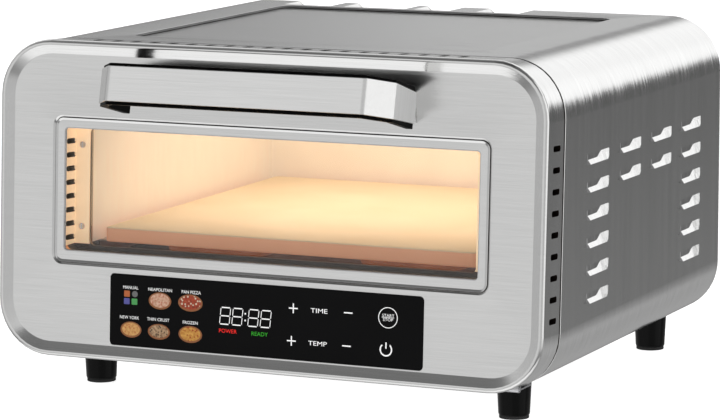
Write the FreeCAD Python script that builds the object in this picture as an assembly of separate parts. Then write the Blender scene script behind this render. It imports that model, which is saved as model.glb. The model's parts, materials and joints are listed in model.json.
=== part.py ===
"""Countertop pizza oven: steel body, raked drop-down door, heated cavity with a stone."""
import FreeCAD, Part
import math
import os

V = FreeCAD.Vector

# ---- Driving dimensions, millimetres ---------------------------------------------------
# World axes while building: X to the right, Y to the rear from the foot of the front
# plane, Z up from the table. Door parts are built upright, with Y as the depth behind
# the front plane, and are then leaned back by RAKE about the X axis.
WIDTH = 480.0
CORNER_R = 46.0
SHEET = 1.0
RAKE = 3.16                                  # degrees the front leans back
LEAN_SIN = math.sin(math.radians(RAKE))
LEAN_COS = math.cos(math.radians(RAKE))
HALF = WIDTH / 2

FOOT_H = 32.1
SHELL_H = 258.0
BODY_LOW = FOOT_H                            # underside of the body
BODY_TOP = FOOT_H + SHELL_H
BODY_REAR = 420.0

DOOR_DEPTH = 34.0                            # front plane to the door's back
DOOR_GAP = 1.2
DOOR_LOW = (BODY_LOW + DOOR_DEPTH * LEAN_SIN) / LEAN_COS
DOOR_TOP = (BODY_TOP + DOOR_DEPTH * LEAN_SIN) / LEAN_COS
EDGE_R = 3.4                                 # round-over at the door's front edge
BEVEL = 8.2                                  # width of the sloping ring
FLAT_Y = 4.0                                 # depth of the flat face inside the ring
FACE_T = 1.2                                 # sheet thickness of that flat

WINDOW_HALF, WINDOW_LOW, WINDOW_TOP, WINDOW_R = 182.0, 121.5, 220.9, 2.5
GROOVE_HALF, GROOVE_LOW, GROOVE_TOP, GROOVE_R = 190.6, 111.6, 229.4, 7.0
GROOVE_W, GROOVE_DEEP, WINDOW_INSET = 3.0, 1.9, 1.4
GLASS_Y, GLASS_T, CHANNEL_REAR = 8.0, 3.5, 29.5
PANEL_HALF, PANEL_LOW, PANEL_TOP, PANEL_R = 138.4, 47.0, 105.2, 3.5

HANDLE_END, HANDLE_OUT, HANDLE_KNEE = 128.0, 63.2, 41.0
HANDLE_FACE = 110.8                          # half length of its flat face
HANDLE_V, HANDLE_TILT = 251.8, 10.9          # height on the front, degrees it points up
STRIP_T, STRIP_HALF_H, CORE_T, CORE_HALF_H = 1.2, 14.0, 6.0, 16.0
HANDLE_SCREWS = (-HANDLE_END + 4.4, HANDLE_END - 4.4)

HINGE_X, HINGE_HALF, KNUCKLE = 196.0, 12.0, 4.0
HINGE_DEPTH, HINGE_V = 34.6, 34.3            # the hinge axis, in the upright door frame
KNUCKLE_R, PIN_R, PIN_FIT, LEAF_T = 3.0, 1.6, 0.05, 1.2

CAVITY_HALF, CAVITY_LOW, CAVITY_TOP, CAVITY_REAR = 175.0, 106.0, 238.0, 388.0
LINER_T, BLANKET = 0.8, 12.0
FRAME_DEPTH = 41.0                           # front frame behind the front plane
STONE_HALF, STONE_LOW, STONE_T, STONE_FRONT, STONE_REAR = 165.0, 123.0, 12.0, 52.0, 377.0
HEATER_R = 3.25

RECESS_HALF, RECESS_FRONT, RECESS_REAR, RECESS_DEEP, RECESS_R = 157.0, 85.0, 378.0, 2.2, 12.0
FOOT_X, FOOT_FRONT_Y, FOOT_REAR_Y = 186.0, 80.0, 398.0
FOOT_TOP_R, FOOT_LOW_R, PAD_T = 14.0, 12.7, 2.5

LOUVRE_Y = (97.0, 171.2, 245.4, 319.6)       # front end of each column
LOUVRE_L, LOUVRE_H, LOUVRE_CREST, LOUVRE_OUT = 51.5, 7.4, 4.0, 3.6
LOUVRE_TOP, LOUVRE_PITCH, LOUVRE_ROWS = 211.0, 22.17, 6
FULL_ROWS = 2                                # upper rows that use all four columns

FAN_X, FAN_Z, FAN_HALF, FAN_T, FAN_BORE = 118.0, 74.0, 25.0, 15.0, 23.6
REAR_PANEL_Y = BODY_REAR - 3.0
FLANGE_W = 15.0                              # width of the wrap's folded edges
GLAND_X, GLAND_Z, GLAND_BORE = -182.0, 62.0, 4.0
MOTOR_R, SHAFT_R, SHAFT_FIT = 9.5, 1.5, 0.04
BOARD = (-138.0, -18.0, 246.0, 372.0, 44.0)  # x0, x1, y0, y1, underside
HEATERS = {"upper": 227.0, "lower": 114.0}   # height of each element's axis
HEATER_LEGS = (-130.0, 130.0)
BUSH_R = 6.0
PROBE_X, PROBE_Z, PROBE_R = 60.0, 214.0, 2.0
LAMP_Y, LAMP_Z, LAMP_R = 300.0, 196.0, 15.0
EXHAUSTS = ((-158.0, -118.5), (-99.5, -46.0), (-31.5, -3.0), (28.5, 63.0))


# ---- Small shape helpers ---------------------------------------------------------------
def block(x0, x1, y0, y1, z0, z1):
    return Part.makeBox(x1 - x0, y1 - y0, z1 - z0, V(x0, y0, z0))


def rod(start, direction, radius, length):
    return Part.makeCylinder(radius, length, V(*start), V(*direction))


def ring(start, direction, outer, inner, length):
    return rod(start, direction, outer, length).cut(rod(start, direction, inner, length))


def rounded(shape, radius, axis):
    """Fillet the edges that run along one axis."""
    edges = [e for e in shape.Edges
             if len(e.Vertexes) == 2 and abs(e.tangentAt(e.FirstParameter).dot(V(*axis))) > 0.999]
    return shape.makeFillet(radius, edges)


def prism(half, low, high, radius, front, back):
    """A rounded rectangle, centred on X = 0, drawn out along Y."""
    return rounded(block(-half, half, front, back, low, high), radius, (0, 1, 0))


def frame(outer, inner, front, back):
    """A rounded rectangular frame; outer and inner are (half, low, high, radius)."""
    return prism(*outer, front, back).cut(prism(*inner, front - 1, back + 1))


def fuse(shapes):
    shapes = list(shapes)
    return shapes[0].multiFuse(shapes[1:]).removeSplitter() if len(shapes) > 1 else shapes[0]


def group(shapes):
    """Separate solids that share one node."""
    return Part.makeCompound(list(shapes))


def extruded(points, direction):
    """A closed polygon, drawn out along a vector."""
    corners = [V(*p) for p in points]
    return Part.Face(Part.makePolygon(corners + corners[:1])).extrude(V(*direction))


def mirrored(shape):
    return shape.mirror(V(0, 0, 0), V(1, 0, 0))


def both_sides(shape):
    return [shape, mirrored(shape)]


def lean(shape):
    """Turn a part from the upright door frame into the raked front."""
    out = shape.copy()
    out.rotate(V(0, 0, 0), V(1, 0, 0), -RAKE)
    return out


def behind(shape, depth):
    """Keep what lies behind the raked plane at one depth."""
    return shape.cut(lean(block(-400, 400, -200, depth, -100, 500)))


def slot(x0, x1, y, z, direction, length):
    """A round-ended slot cutter: x0 to x1 across, 2 * y thick, drawn out along a vector."""
    flat = block(x0, x1, -y, y, 0, length)
    flat = rounded(flat, y * 0.98, (0, 0, 1))
    flat.Placement = FreeCAD.Placement(V(0, 0, 0), FreeCAD.Rotation(V(0, 0, 1), V(*direction)))
    flat.translate(V(*z))
    return flat


def screw(head_at, direction, head_r=3.4, head_h=2.0, shank_r=1.9, shank=7.0):
    """A pan-head screw: its head stands out of the surface, against the direction."""
    d = V(*direction)
    at = V(*head_at)
    head = Part.makeCylinder(head_r, head_h, at - d * head_h, d)
    body = head.fuse(Part.makeCylinder(shank_r, shank, at, d)).removeSplitter()
    across = V(0, 0, 1) if abs(d.z) < 0.5 else V(0, 1, 0)
    cutter = Part.makeBox(0.9, 2 * head_r, 1.0, V(-0.45, -head_r, 0))
    turn = FreeCAD.Rotation(d.cross(across), across, d, "ZYX")
    cutter.Placement = FreeCAD.Placement(at - d * (head_h + 0.2), turn)
    return body.cut(cutter)


# ---- Body shell ------------------------------------------------------------------------
def louvre(y, top):
    """One pressed hood on the right side: a wedge shell that is open along its lower edge."""
    crest, foot_z = top - LOUVRE_CREST, top - LOUVRE_H
    root, skin, undercut = HALF - SHEET / 2, 0.9, 0.9
    outer = extruded([(root, y, top), (HALF + LOUVRE_OUT, y, crest),
                      (HALF + LOUVRE_OUT - undercut, y, foot_z), (root, y, foot_z)],
                     (0, LOUVRE_L, 0))
    hollow = extruded([(root, y + 1, top - skin), (HALF + LOUVRE_OUT - skin, y + 1, crest - skin / 2),
                       (HALF + LOUVRE_OUT - undercut - skin, y + 1, foot_z - 1),
                       (root, y + 1, foot_z - 1)], (0, LOUVRE_L - 2, 0))
    mouth = block(HALF - 3, HALF + 0.1, y + 1, y + LOUVRE_L - 1, foot_z, crest + 1.5)
    return outer, hollow.fuse(mouth)


def louvre_places():
    for row in range(LOUVRE_ROWS):
        for column, y in enumerate(LOUVRE_Y):
            if row < FULL_ROWS or column in (0, len(LOUVRE_Y) - 1):
                yield y, LOUVRE_TOP - row * LOUVRE_PITCH


def exhaust_cutters():
    """Notches in the rear edge of the top, with sloping ends."""
    deep, slope = 9.0, 3.0
    for x0, x1 in EXHAUSTS:
        outline = [(x0 - slope, 386, BODY_TOP + 0.1), (x1 + slope, 386, BODY_TOP + 0.1),
                   (x1, 386, BODY_TOP - slope), (x1, 386, BODY_TOP - deep),
                   (x0, 386, BODY_TOP - deep), (x0, 386, BODY_TOP - slope)]
        yield extruded(outline, (0, 60, 0))


def hinge_notch():
    axis_y, axis_z = hinge_axis()
    cut = block(HINGE_X - HINGE_HALF - 1, HINGE_X + HINGE_HALF + 1,
                axis_y - 6, axis_y + KNUCKLE, axis_z - 6, axis_z + KNUCKLE)
    return group(both_sides(cut))


def outer_wrap():
    shell = frame((HALF, BODY_LOW, BODY_TOP, CORNER_R),
                  (HALF - SHEET, BODY_LOW + SHEET, BODY_TOP - SHEET, CORNER_R - SHEET),
                  20, BODY_REAR)
    fold = ((HALF - 0.5, BODY_LOW + 0.5, BODY_TOP - 0.5, CORNER_R - 0.5),
            (HALF - FLANGE_W, BODY_LOW + FLANGE_W, BODY_TOP - FLANGE_W, CORNER_R - FLANGE_W))
    rear_fold = frame(*fold, REAR_PANEL_Y - SHEET, REAR_PANEL_Y)
    front_fold = frame(*fold, 20, 90).common(
        lean(block(-400, 400, FRAME_DEPTH + SHEET, FRAME_DEPTH + 2 * SHEET, -50, 400)))
    shell = behind(shell, DOOR_DEPTH + DOOR_GAP).multiFuse([rear_fold, front_fold])
    shell = shell.cut(block(-178, 178, 0, BODY_REAR + 1, BODY_LOW - 1, BODY_LOW + 2))
    shell = shell.cut(group(frame_screw_holes(1.9) + rear_screw_holes(1.9)))
    tray_top = BODY_TOP - SHEET / 2
    pocket = rounded(block(-RECESS_HALF, RECESS_HALF, RECESS_FRONT, RECESS_REAR,
                           BODY_TOP - RECESS_DEEP, BODY_TOP + 1), RECESS_R, (0, 0, 1))
    tray = rounded(block(-RECESS_HALF - SHEET, RECESS_HALF + SHEET,
                         RECESS_FRONT - SHEET, RECESS_REAR + SHEET,
                         BODY_TOP - RECESS_DEEP - SHEET, tray_top), RECESS_R + SHEET, (0, 0, 1))
    shell = shell.fuse(tray).cut(pocket)
    hoods = [louvre(y, top) for y, top in louvre_places()]
    for side in (lambda s: s, mirrored):
        shell = shell.multiFuse([side(outer) for outer, _ in hoods])
        shell = shell.cut(group(side(hollow) for _, hollow in hoods))
    shell = shell.cut(group(exhaust_cutters())).cut(hinge_notch())
    shell = shell.cut(group(foot_screw_holes(2.1)))
    return shell.removeSplitter()


def foot_places():
    for x in (-FOOT_X, FOOT_X):
        for y in (FOOT_FRONT_Y, FOOT_REAR_Y):
            yield x, y


def foot_screw_holes(radius):
    return [rod((x, y, BODY_LOW - 20), (0, 0, 1), radius, 40) for x, y in foot_places()]


def base_plate():
    low = BODY_LOW + SHEET
    plate = block(-193, 193, 47, REAR_PANEL_Y - SHEET, low, low + FACE_T)
    vents = [slot(-20, 20, 2.0, (x, y, low - 1), (0, 0, 1), 4)
             for x in (-110, -40, 40, 110) for y in range(120, 241, 12)]
    return plate.cut(group(vents + foot_screw_holes(2.1)))


def rear_panel():
    plate = prism(HALF - SHEET, BODY_LOW + SHEET, BODY_TOP - SHEET, CORNER_R - SHEET,
                  REAR_PANEL_Y, REAR_PANEL_Y + FACE_T)
    cutters = list(exhaust_cutters()) + rear_screw_holes(1.9)
    for row in range(6):
        for x in (-150, -90, -30, 30, 90, 150):
            cutters.append(slot(-20, 20, 2.2, (x, REAR_PANEL_Y - 1, 130 + 18 * row), (0, 1, 0), 4))
    for step in range(-3, 4):
        reach = math.sqrt(21.0 ** 2 - (6 * step) ** 2)
        cutters.append(slot(-reach, reach, 1.9,
                            (FAN_X, REAR_PANEL_Y - 1, FAN_Z + 6 * step), (0, 1, 0), 4))
    cutters.append(rod((GLAND_X, REAR_PANEL_Y - 1, GLAND_Z), (0, 1, 0), 9.0, 4))
    return plate.cut(group(cutters))


def rear_screw_places():
    return [(x, z) for x in (-231, 231) for z in (95, 230)] + [(-120, 41), (0, 41), (180, 41)]


def rear_screw_holes(radius):
    return [rod((x, REAR_PANEL_Y - 3, z), (0, 1, 0), radius, 6) for x, z in rear_screw_places()]


def front_frame():
    slab = lean(block(-300, 300, FRAME_DEPTH, FRAME_DEPTH + SHEET, -50, 400))
    inside = prism(HALF - SHEET, BODY_LOW + SHEET, BODY_TOP - SHEET, CORNER_R - SHEET, 20, 90)
    mouth = rounded(block(-CAVITY_HALF, CAVITY_HALF, 20, 90, CAVITY_LOW + 8, CAVITY_TOP - 4),
                    4, (0, 1, 0))
    return inside.common(slab).cut(mouth).cut(group(frame_screw_holes(1.9)))


# ---- Heated cavity ---------------------------------------------------------------------
def cavity_box(grow, rear_grow):
    return block(-CAVITY_HALF - grow, CAVITY_HALF + grow, 20, CAVITY_REAR + rear_grow,
                 CAVITY_LOW - grow, CAVITY_TOP + grow)


def wall_holes(extra):
    """Clear holes for what passes through the cavity's rear and right walls."""
    holes = [rod((x, 380, z), (0, 1, 0), HEATER_R + extra, 30)
             for z in HEATERS.values() for x in HEATER_LEGS]
    holes.append(rod((PROBE_X, 380, PROBE_Z), (0, 1, 0), PROBE_R + extra, 30))
    holes.append(rod((CAVITY_HALF - 2, LAMP_Y, LAMP_Z), (1, 0, 0), LAMP_R + 0.2, 30))
    return holes


def cavity_liner():
    box = cavity_box(LINER_T, LINER_T).cut(cavity_box(0, 0))
    box = behind(box, FRAME_DEPTH + SHEET)
    return box.cut(group(wall_holes(0.3)))


def cavity_insulation():
    outer = block(-CAVITY_HALF - BLANKET, CAVITY_HALF + BLANKET, 56, CAVITY_REAR + BLANKET,
                  CAVITY_LOW - BLANKET, CAVITY_TOP + BLANKET)
    outer = rounded(outer, 6, (0, 1, 0))
    hollow = outer.cut(cavity_box(LINER_T, LINER_T))
    bushes = [rod((x, 380, z), (0, 1, 0), BUSH_R, 30)
              for z in HEATERS.values() for x in HEATER_LEGS]
    return hollow.cut(group(wall_holes(0.3) + bushes))


def heater_bushes():
    """Ceramic tubes that carry the element ends through the blanket."""
    start = CAVITY_REAR + LINER_T
    return group(ring((x, start, z), (0, 1, 0), BUSH_R, HEATER_R, BLANKET + 2)
                 for z in HEATERS.values() for x in HEATER_LEGS)


def heater(z):
    """A tubular element bent in an M, from one rear hole to the other."""
    bend, front, back, inner = 20.0, 90.0, 330.0, 45.0
    left, right = HEATER_LEGS
    ends = CAVITY_REAR + BLANKET + 6
    path = [(left, ends), (left, front), (-inner, front), (-inner, back),
            (inner, back), (inner, front), (right, front), (right, ends)]
    edges, last = [], V(*path[0], z)
    for before, corner, after in zip(path, path[1:], path[2:]):
        here = V(*corner, z)
        a = (V(*before, z) - here).normalize()
        b = (V(*after, z) - here).normalize()
        start, stop = here + a * bend, here + b * bend
        middle = here + (a + b) * (bend * (1 - math.sqrt(0.5)))
        edges += [Part.LineSegment(last, start).toShape(), Part.Arc(start, middle, stop).toShape()]
        last = stop
    edges.append(Part.LineSegment(last, V(*path[-1], z)).toShape())
    circle = Part.Wire([Part.makeCircle(HEATER_R, V(*path[0], z), V(0, 1, 0))])
    return Part.Wire(edges).makePipeShell([circle], True, False)


def heater_clips():
    """Hangers that hold the two elements off the ceiling and the floor."""
    clips = []
    for z, wall in ((HEATERS["upper"], CAVITY_TOP), (HEATERS["lower"], CAVITY_LOW)):
        low, high = sorted((z - math.copysign(HEATER_R + 1.5, wall - z), wall))
        for x in (-130.0, -45.0, 45.0, 130.0):
            strap = block(x - 5, x + 5, 200, 204, low, high)
            clips.append(strap.cut(rod((x, 190, z), (0, 1, 0), HEATER_R, 30)))
    return group(clips)


def temperature_probe():
    tip = rod((PROBE_X, 340, PROBE_Z), (0, 1, 0), PROBE_R, 64)
    flange = rod((PROBE_X, CAVITY_REAR - 1.2, PROBE_Z), (0, 1, 0), 7.0, 1.2)
    return tip.fuse(flange).removeSplitter()


def stone_rail(side):
    """A channel that runs front to rear and carries one edge of the stone."""
    wall, reach, high, thick = CAVITY_HALF, 16.0, 11.0, 1.2
    top, front, rear = STONE_LOW, 60.0, 380.0
    rail = fuse([block(wall - reach, wall, front, rear, top - thick, top),
                 block(wall - thick, wall, front, rear, top - high, top),
                 block(wall - 9, wall, front, rear, top - high, top - high + thick)])
    return rail if side > 0 else mirrored(rail)


def pizza_stone():
    slab = block(-STONE_HALF, STONE_HALF, STONE_FRONT, STONE_REAR, STONE_LOW, STONE_LOW + STONE_T)
    slab = rounded(slab, 4, (0, 0, 1))
    rims = [e for e in slab.Edges if e.BoundBox.ZLength < 0.01]
    return slab.makeChamfer(0.8, rims)


def lamp_socket():
    start = CAVITY_HALF + LINER_T
    cup = ring((start, LAMP_Y, LAMP_Z), (1, 0, 0), LAMP_R, LAMP_R - 2, 16)
    cap = rod((start + 16, LAMP_Y, LAMP_Z), (1, 0, 0), LAMP_R, 3)
    flange = ring((start + BLANKET - LINER_T, LAMP_Y, LAMP_Z), (1, 0, 0), LAMP_R + 6, LAMP_R - 1, 1.2)
    return fuse([cup, cap, flange])


def lamp_bulb():
    tip = CAVITY_HALF + LINER_T
    bulb = rod((tip, LAMP_Y, LAMP_Z), (1, 0, 0), 6.5, 11)
    bulb = bulb.makeFillet(5.0, [e for e in bulb.Edges if e.Closed])
    return bulb.fuse(rod((tip + 8, LAMP_Y, LAMP_Z), (1, 0, 0), 4.0, 8)).removeSplitter()


def lamp_lens():
    """A domed glass cover inside the cavity."""
    centre = V(CAVITY_HALF + 9, LAMP_Y, LAMP_Z)
    dome = Part.makeSphere(22, centre).cut(Part.makeSphere(20.2, centre))
    return dome.common(block(CAVITY_HALF - 20, CAVITY_HALF, LAMP_Y - 30, LAMP_Y + 30,
                             LAMP_Z - 30, LAMP_Z + 30))


def cavity_supports():
    """Four folded brackets that stand the cavity on the base plate."""
    low = BODY_LOW + SHEET + FACE_T
    top = CAVITY_LOW - BLANKET
    stands = []
    for x in (-150.0, 150.0):
        for y in (110.0, 330.0):
            stands.append(fuse([block(x - 1, x + 1, y - 15, y + 15, low, top),
                                block(x - 12, x + 1, y - 15, y + 15, low, low + 1.5),
                                block(x - 12, x + 1, y - 15, y + 15, top - 1.5, top)]))
    return group(stands)


def thermal_cutout():
    z = CAVITY_TOP + BLANKET
    can = rod((60, 300, z), (0, 0, 1), 8.5, 7)
    tabs = [block(56.5 + dx, 59.5 + dx, 299.6, 300.4, z + 7, z + 13) for dx in (-3, 5)]
    return fuse([can, rod((60, 300, z), (0, 0, 1), 11.5, 1)] + tabs)


# ---- Electrics and cooling -------------------------------------------------------------
def power_board():
    x0, x1, y0, y1, z = BOARD
    board = block(x0, x1, y0, y1, z, z + 1.6)
    return board.cut(group(rod((x, y, z - 1), (0, 0, 1), 1.6, 4) for x, y in board_corners()))


def board_corners():
    x0, x1, y0, y1, _ = BOARD
    return [(x, y) for x in (x0 + 6, x1 - 6) for y in (y0 + 6, y1 - 6)]


def board_standoffs():
    low = BODY_LOW + SHEET + FACE_T
    posts = []
    for x, y in board_corners():
        post = rod((x, y, low), (0, 0, 1), 3.5, BOARD[4] - low)
        posts.append(post.fuse(rod((x, y, BOARD[4]), (0, 0, 1), 1.6, 3.2)).removeSplitter())
    return group(posts)


def board_components():
    """Transformer, two relays, filter capacitor, triac heat sink and plug headers."""
    x0, x1, y0, y1, z = BOARD
    z += 1.6
    pieces = [block(x0 + 12, x0 + 44, y0 + 14, y0 + 46, z, z + 24),
              block(x0 + 54, x0 + 70, y0 + 16, y0 + 46, z, z + 20),
              block(x0 + 76, x0 + 92, y0 + 16, y0 + 46, z, z + 20),
              rod((x0 + 24, y0 + 74, z), (0, 0, 1), 9.0, 22)]
    fins = [block(x0 + 48, x0 + 104, y0 + 62 + 6 * k, y0 + 64 + 6 * k, z + 3, z + 28)
            for k in range(6)]
    pieces.append(fuse([block(x0 + 48, x0 + 104, y0 + 62, y0 + 94, z, z + 3)] + fins))
    pieces += [block(x0 + 14 + 24 * k, x0 + 32 + 24 * k, y1 - 18, y1 - 8, z, z + 12)
               for k in range(4)]
    return group(pieces)


def terminal_block():
    low = BODY_LOW + SHEET + FACE_T
    body = block(-190, -172, 340, 384, low, low + 16)
    wells = [rod((-181, 347 + 10 * k, low + 6), (0, 0, 1), 3.2, 11) for k in range(4)]
    return body.cut(group(wells))


def cord_gland():
    """A flanged bush for the mains cord, clamped in the rear panel by its nut."""
    y = REAR_PANEL_Y
    body = fuse([rod((GLAND_X, y - 9, GLAND_Z), (0, 1, 0), 9.0, 9 + FACE_T),
                 rod((GLAND_X, y - 5, GLAND_Z), (0, 1, 0), 12.5, 5),
                 rod((GLAND_X, y + FACE_T, GLAND_Z), (0, 1, 0), 12.0, 3),
                 Part.makeCone(9.0, 6.5, 7, V(GLAND_X, y + FACE_T + 3, GLAND_Z), V(0, 1, 0))])
    return body.cut(rod((GLAND_X, y - 12, GLAND_Z), (0, 1, 0), GLAND_BORE, 30))


def fan_housing():
    front = REAR_PANEL_Y - FAN_T
    square = block(FAN_X - FAN_HALF, FAN_X + FAN_HALF, front, REAR_PANEL_Y,
                   FAN_Z - FAN_HALF, FAN_Z + FAN_HALF)
    square = rounded(square, 4, (0, 1, 0))
    square = square.cut(rod((FAN_X, front - 1, FAN_Z), (0, 1, 0), FAN_BORE, FAN_T + 2))
    arms = block(FAN_X - 24, FAN_X + 24, REAR_PANEL_Y - 3, REAR_PANEL_Y - 1, FAN_Z - 1.5, FAN_Z + 1.5)
    star = []
    for turn in (30, 90, 150):
        arm = arms.copy()
        arm.rotate(V(FAN_X, 0, FAN_Z), V(0, 1, 0), turn)
        star.append(arm)
    seat = rod((FAN_X, front - 1, FAN_Z), (0, 1, 0), MOTOR_R, FAN_T + 2)
    corners = [rod((FAN_X + dx, front - 1, FAN_Z + dz), (0, 1, 0), 1.9, FAN_T + 2)
               for dx in (-20, 20) for dz in (-20, 20)]
    return fuse([square] + star).cut(seat).cut(group(corners))


def fan_motor():
    back = REAR_PANEL_Y - 1
    can = rod((FAN_X, back - 5, FAN_Z), (0, 1, 0), MOTOR_R, 5)
    return can.cut(rod((FAN_X, back - 6, FAN_Z), (0, 1, 0), SHAFT_R + SHAFT_FIT, 7))


def fan_rotor():
    """Hub, shaft and seven pitched blades on the fan axis."""
    front = REAR_PANEL_Y - FAN_T + 0.8
    hub = rod((FAN_X, front, FAN_Z), (0, 1, 0), 9.0, 7.4)
    shaft = rod((FAN_X, front + 7, FAN_Z), (0, 1, 0), SHAFT_R, 5.5)
    blades = []
    for k in range(7):
        blade = block(-4.5, 4.5, -0.6, 0.6, 8.0, 22.4)
        blade.rotate(V(0, 0, 0), V(0, 0, 1), 38)
        blade.rotate(V(0, 0, 0), V(0, 1, 0), 360.0 / 7 * k)
        blade.translate(V(FAN_X, front + 3.6, FAN_Z))
        blades.append(blade)
    return fuse([hub, shaft] + blades)


def reed_switch():
    box = block(-208, -192, FRAME_DEPTH + SHEET, FRAME_DEPTH + SHEET + 5, 86, 94)
    return lean(box)


# ---- Feet and fasteners ----------------------------------------------------------------
def foot(x, y):
    body = Part.makeCone(FOOT_LOW_R, FOOT_TOP_R, FOOT_H - PAD_T, V(x, y, PAD_T), V(0, 0, 1))
    body = body.cut(rod((x, y, PAD_T + 12), (0, 0, 1), 1.9, FOOT_H))
    return body.cut(rod((x, y, PAD_T), (0, 0, 1), 8.0, 1.0))


def foot_pads():
    return group(fuse([rod((x, y, 0), (0, 0, 1), FOOT_LOW_R - 0.7, PAD_T),
                       rod((x, y, PAD_T), (0, 0, 1), 8.0, 1.0)]) for x, y in foot_places())


def foot_screws():
    low = BODY_LOW + SHEET + FACE_T
    return group(screw((x, y, low), (0, 0, -1), shank=14.0) for x, y in foot_places())


def rear_screws():
    return group(screw((x, REAR_PANEL_Y + FACE_T, z), (0, -1, 0), head_h=1.6, shank=8.0)
                 for x, z in rear_screw_places())


def frame_screw_places():
    return [(x, z) for x in (-231.0, 231.0) for z in (95.0, 162.0, 230.0)]


def frame_screw_holes(radius):
    return [lean(rod((x, FRAME_DEPTH - 2, z), (0, 1, 0), radius, 8)) for x, z in frame_screw_places()]


def frame_screws():
    """Screws that hold the front frame to the wrap's front fold."""
    return group(lean(screw((x, FRAME_DEPTH, z), (0, 1, 0), head_h=1.8, shank=6.0))
                 for x, z in frame_screw_places())


# ---- Hinges ----------------------------------------------------------------------------
def hinge_axis():
    """World Y and Z of the door's hinge axis."""
    return (HINGE_V * LEAN_SIN + HINGE_DEPTH * LEAN_COS, HINGE_V * LEAN_COS - HINGE_DEPTH * LEAN_SIN)


def body_leaf(side):
    """The fixed leaf: a plate under the body with the two outer knuckles."""
    y, z = hinge_axis()
    x0, x1 = HINGE_X - HINGE_HALF, HINGE_X + HINGE_HALF
    plate = block(x0, x1, y + KNUCKLE_R + 0.6, 62, BODY_LOW - LEAF_T, BODY_LOW)
    parts = [plate]
    for a, b in ((x0, HINGE_X - KNUCKLE - 0.1), (HINGE_X + KNUCKLE + 0.1, x1)):
        parts += [rod((a, y, z), (1, 0, 0), KNUCKLE_R, b - a),
                  block(a, b, y, y + KNUCKLE_R + 1, BODY_LOW - LEAF_T, BODY_LOW)]
    leaf = fuse(parts).cut(rod((x0 - 1, y, z), (1, 0, 0), PIN_R, 2 * HINGE_HALF + 2))
    return leaf if side > 0 else mirrored(leaf)


def hinge_pin(side):
    y, z = hinge_axis()
    pin = rod((HINGE_X - HINGE_HALF - 0.6, y, z), (1, 0, 0), PIN_R, 2 * HINGE_HALF + 1.2)
    return pin if side > 0 else mirrored(pin)


def door_leaf(side):
    """The moving leaf: middle knuckle and a plate behind the door's inner panel."""
    back = DOOR_DEPTH - SHEET
    x0, x1 = HINGE_X - KNUCKLE + 0.1, HINGE_X + KNUCKLE - 0.1
    leaf = fuse([rod((x0, HINGE_DEPTH, HINGE_V), (1, 0, 0), KNUCKLE_R, x1 - x0),
                 block(x0, x1, back - LEAF_T, back, HINGE_V, HINGE_V + 8),
                 block(HINGE_X - 10, HINGE_X + 10, back - LEAF_T, back, HINGE_V + 6, HINGE_V + 30)])
    leaf = leaf.cut(rod((x0 - 1, HINGE_DEPTH, HINGE_V), (1, 0, 0), PIN_R + PIN_FIT, x1 - x0 + 2))
    return leaf if side > 0 else mirrored(leaf)


# ---- Door (upright frame) --------------------------------------------------------------
def side_vent_heights():
    return [225.2 - 16.71 * k for k in range(9)]


def door_shell():
    rim = prism(HALF, DOOR_LOW, DOOR_TOP, CORNER_R, 0, DOOR_DEPTH)
    rim = rim.makeFillet(EDGE_R, [e for e in rim.Edges if abs(e.CenterOfMass.y) < 0.01
                                  and e.BoundBox.YLength < 0.01])
    crest, inner = EDGE_R, EDGE_R + BEVEL
    wires = []
    for grow, y in ((crest, -0.02), (inner, FLAT_Y)):
        face = prism(HALF - grow, DOOR_LOW + grow, DOOR_TOP - grow, CORNER_R - grow, y, y + 1)
        wires.append(next(f for f in face.Faces if abs(f.CenterOfMass.y - y) < 1e-6).OuterWire)
    shell = rim.cut(Part.makeLoft(wires, True, True))
    back = FLAT_Y + FACE_T
    shell = shell.cut(prism(HALF - SHEET, DOOR_LOW + SHEET, DOOR_TOP - SHEET,
                            CORNER_R - SHEET, back, DOOR_DEPTH + 1))
    lip = 1.2
    window = (WINDOW_HALF, WINDOW_LOW, WINDOW_TOP, WINDOW_R)
    around = (WINDOW_HALF + lip, WINDOW_LOW - lip, WINDOW_TOP + lip, WINDOW_R + lip)
    w = GROOVE_W / 2
    outside = (GROOVE_HALF + w, GROOVE_LOW - w, GROOVE_TOP + w, GROOVE_R + w)
    inside = (GROOVE_HALF - w, GROOVE_LOW + w, GROOVE_TOP - w, GROOVE_R - w)
    deep = FLAT_Y + GROOVE_DEEP
    shell = shell.multiFuse([prism(*around, FLAT_Y + 0.2, GLASS_Y),
                             prism(GROOVE_HALF + 3, GROOVE_LOW - 3, GROOVE_TOP + 3, GROOVE_R + 3,
                                   FLAT_Y + 0.2, deep + FACE_T)])
    shell = shell.cut(prism(*window, -1, 12)).cut(prism(*inside, -1, FLAT_Y + WINDOW_INSET))
    shell = shell.cut(frame(outside, inside, FLAT_Y - 1, deep))
    shell = shell.cut(prism(PANEL_HALF, PANEL_LOW, PANEL_TOP, PANEL_R, -1, 12))
    cutters = []
    for v in side_vent_heights():
        cutters.append(rounded(block(-HALF - 5, HALF + 5, 11.9, 26.3, v - 2.35, v + 2.35),
                               2.0, (1, 0, 0)))
    for k in range(20):
        u = (k - 9.5) * 16.87
        cutters.append(rounded(block(u - 2.2, u + 2.2, 13.0, 27.0, DOOR_TOP - 4, DOOR_TOP + 4),
                               2.0, (0, 0, 1)))
    notch = block(HINGE_X - HINGE_HALF - 1, HINGE_X + HINGE_HALF + 1, HINGE_DEPTH - KNUCKLE,
                  DOOR_DEPTH + 1, DOOR_LOW - 1, HINGE_V + KNUCKLE)
    cutters += both_sides(notch)
    cutters += [rod((x, 0, HANDLE_V), (0, 1, 0), 2.1, 12) for x in HANDLE_SCREWS]
    return shell.cut(group(cutters)).removeSplitter()


def outer_glass():
    return prism(188, 116.5, 226, 6, GLASS_Y, GLASS_Y + GLASS_T)


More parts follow.
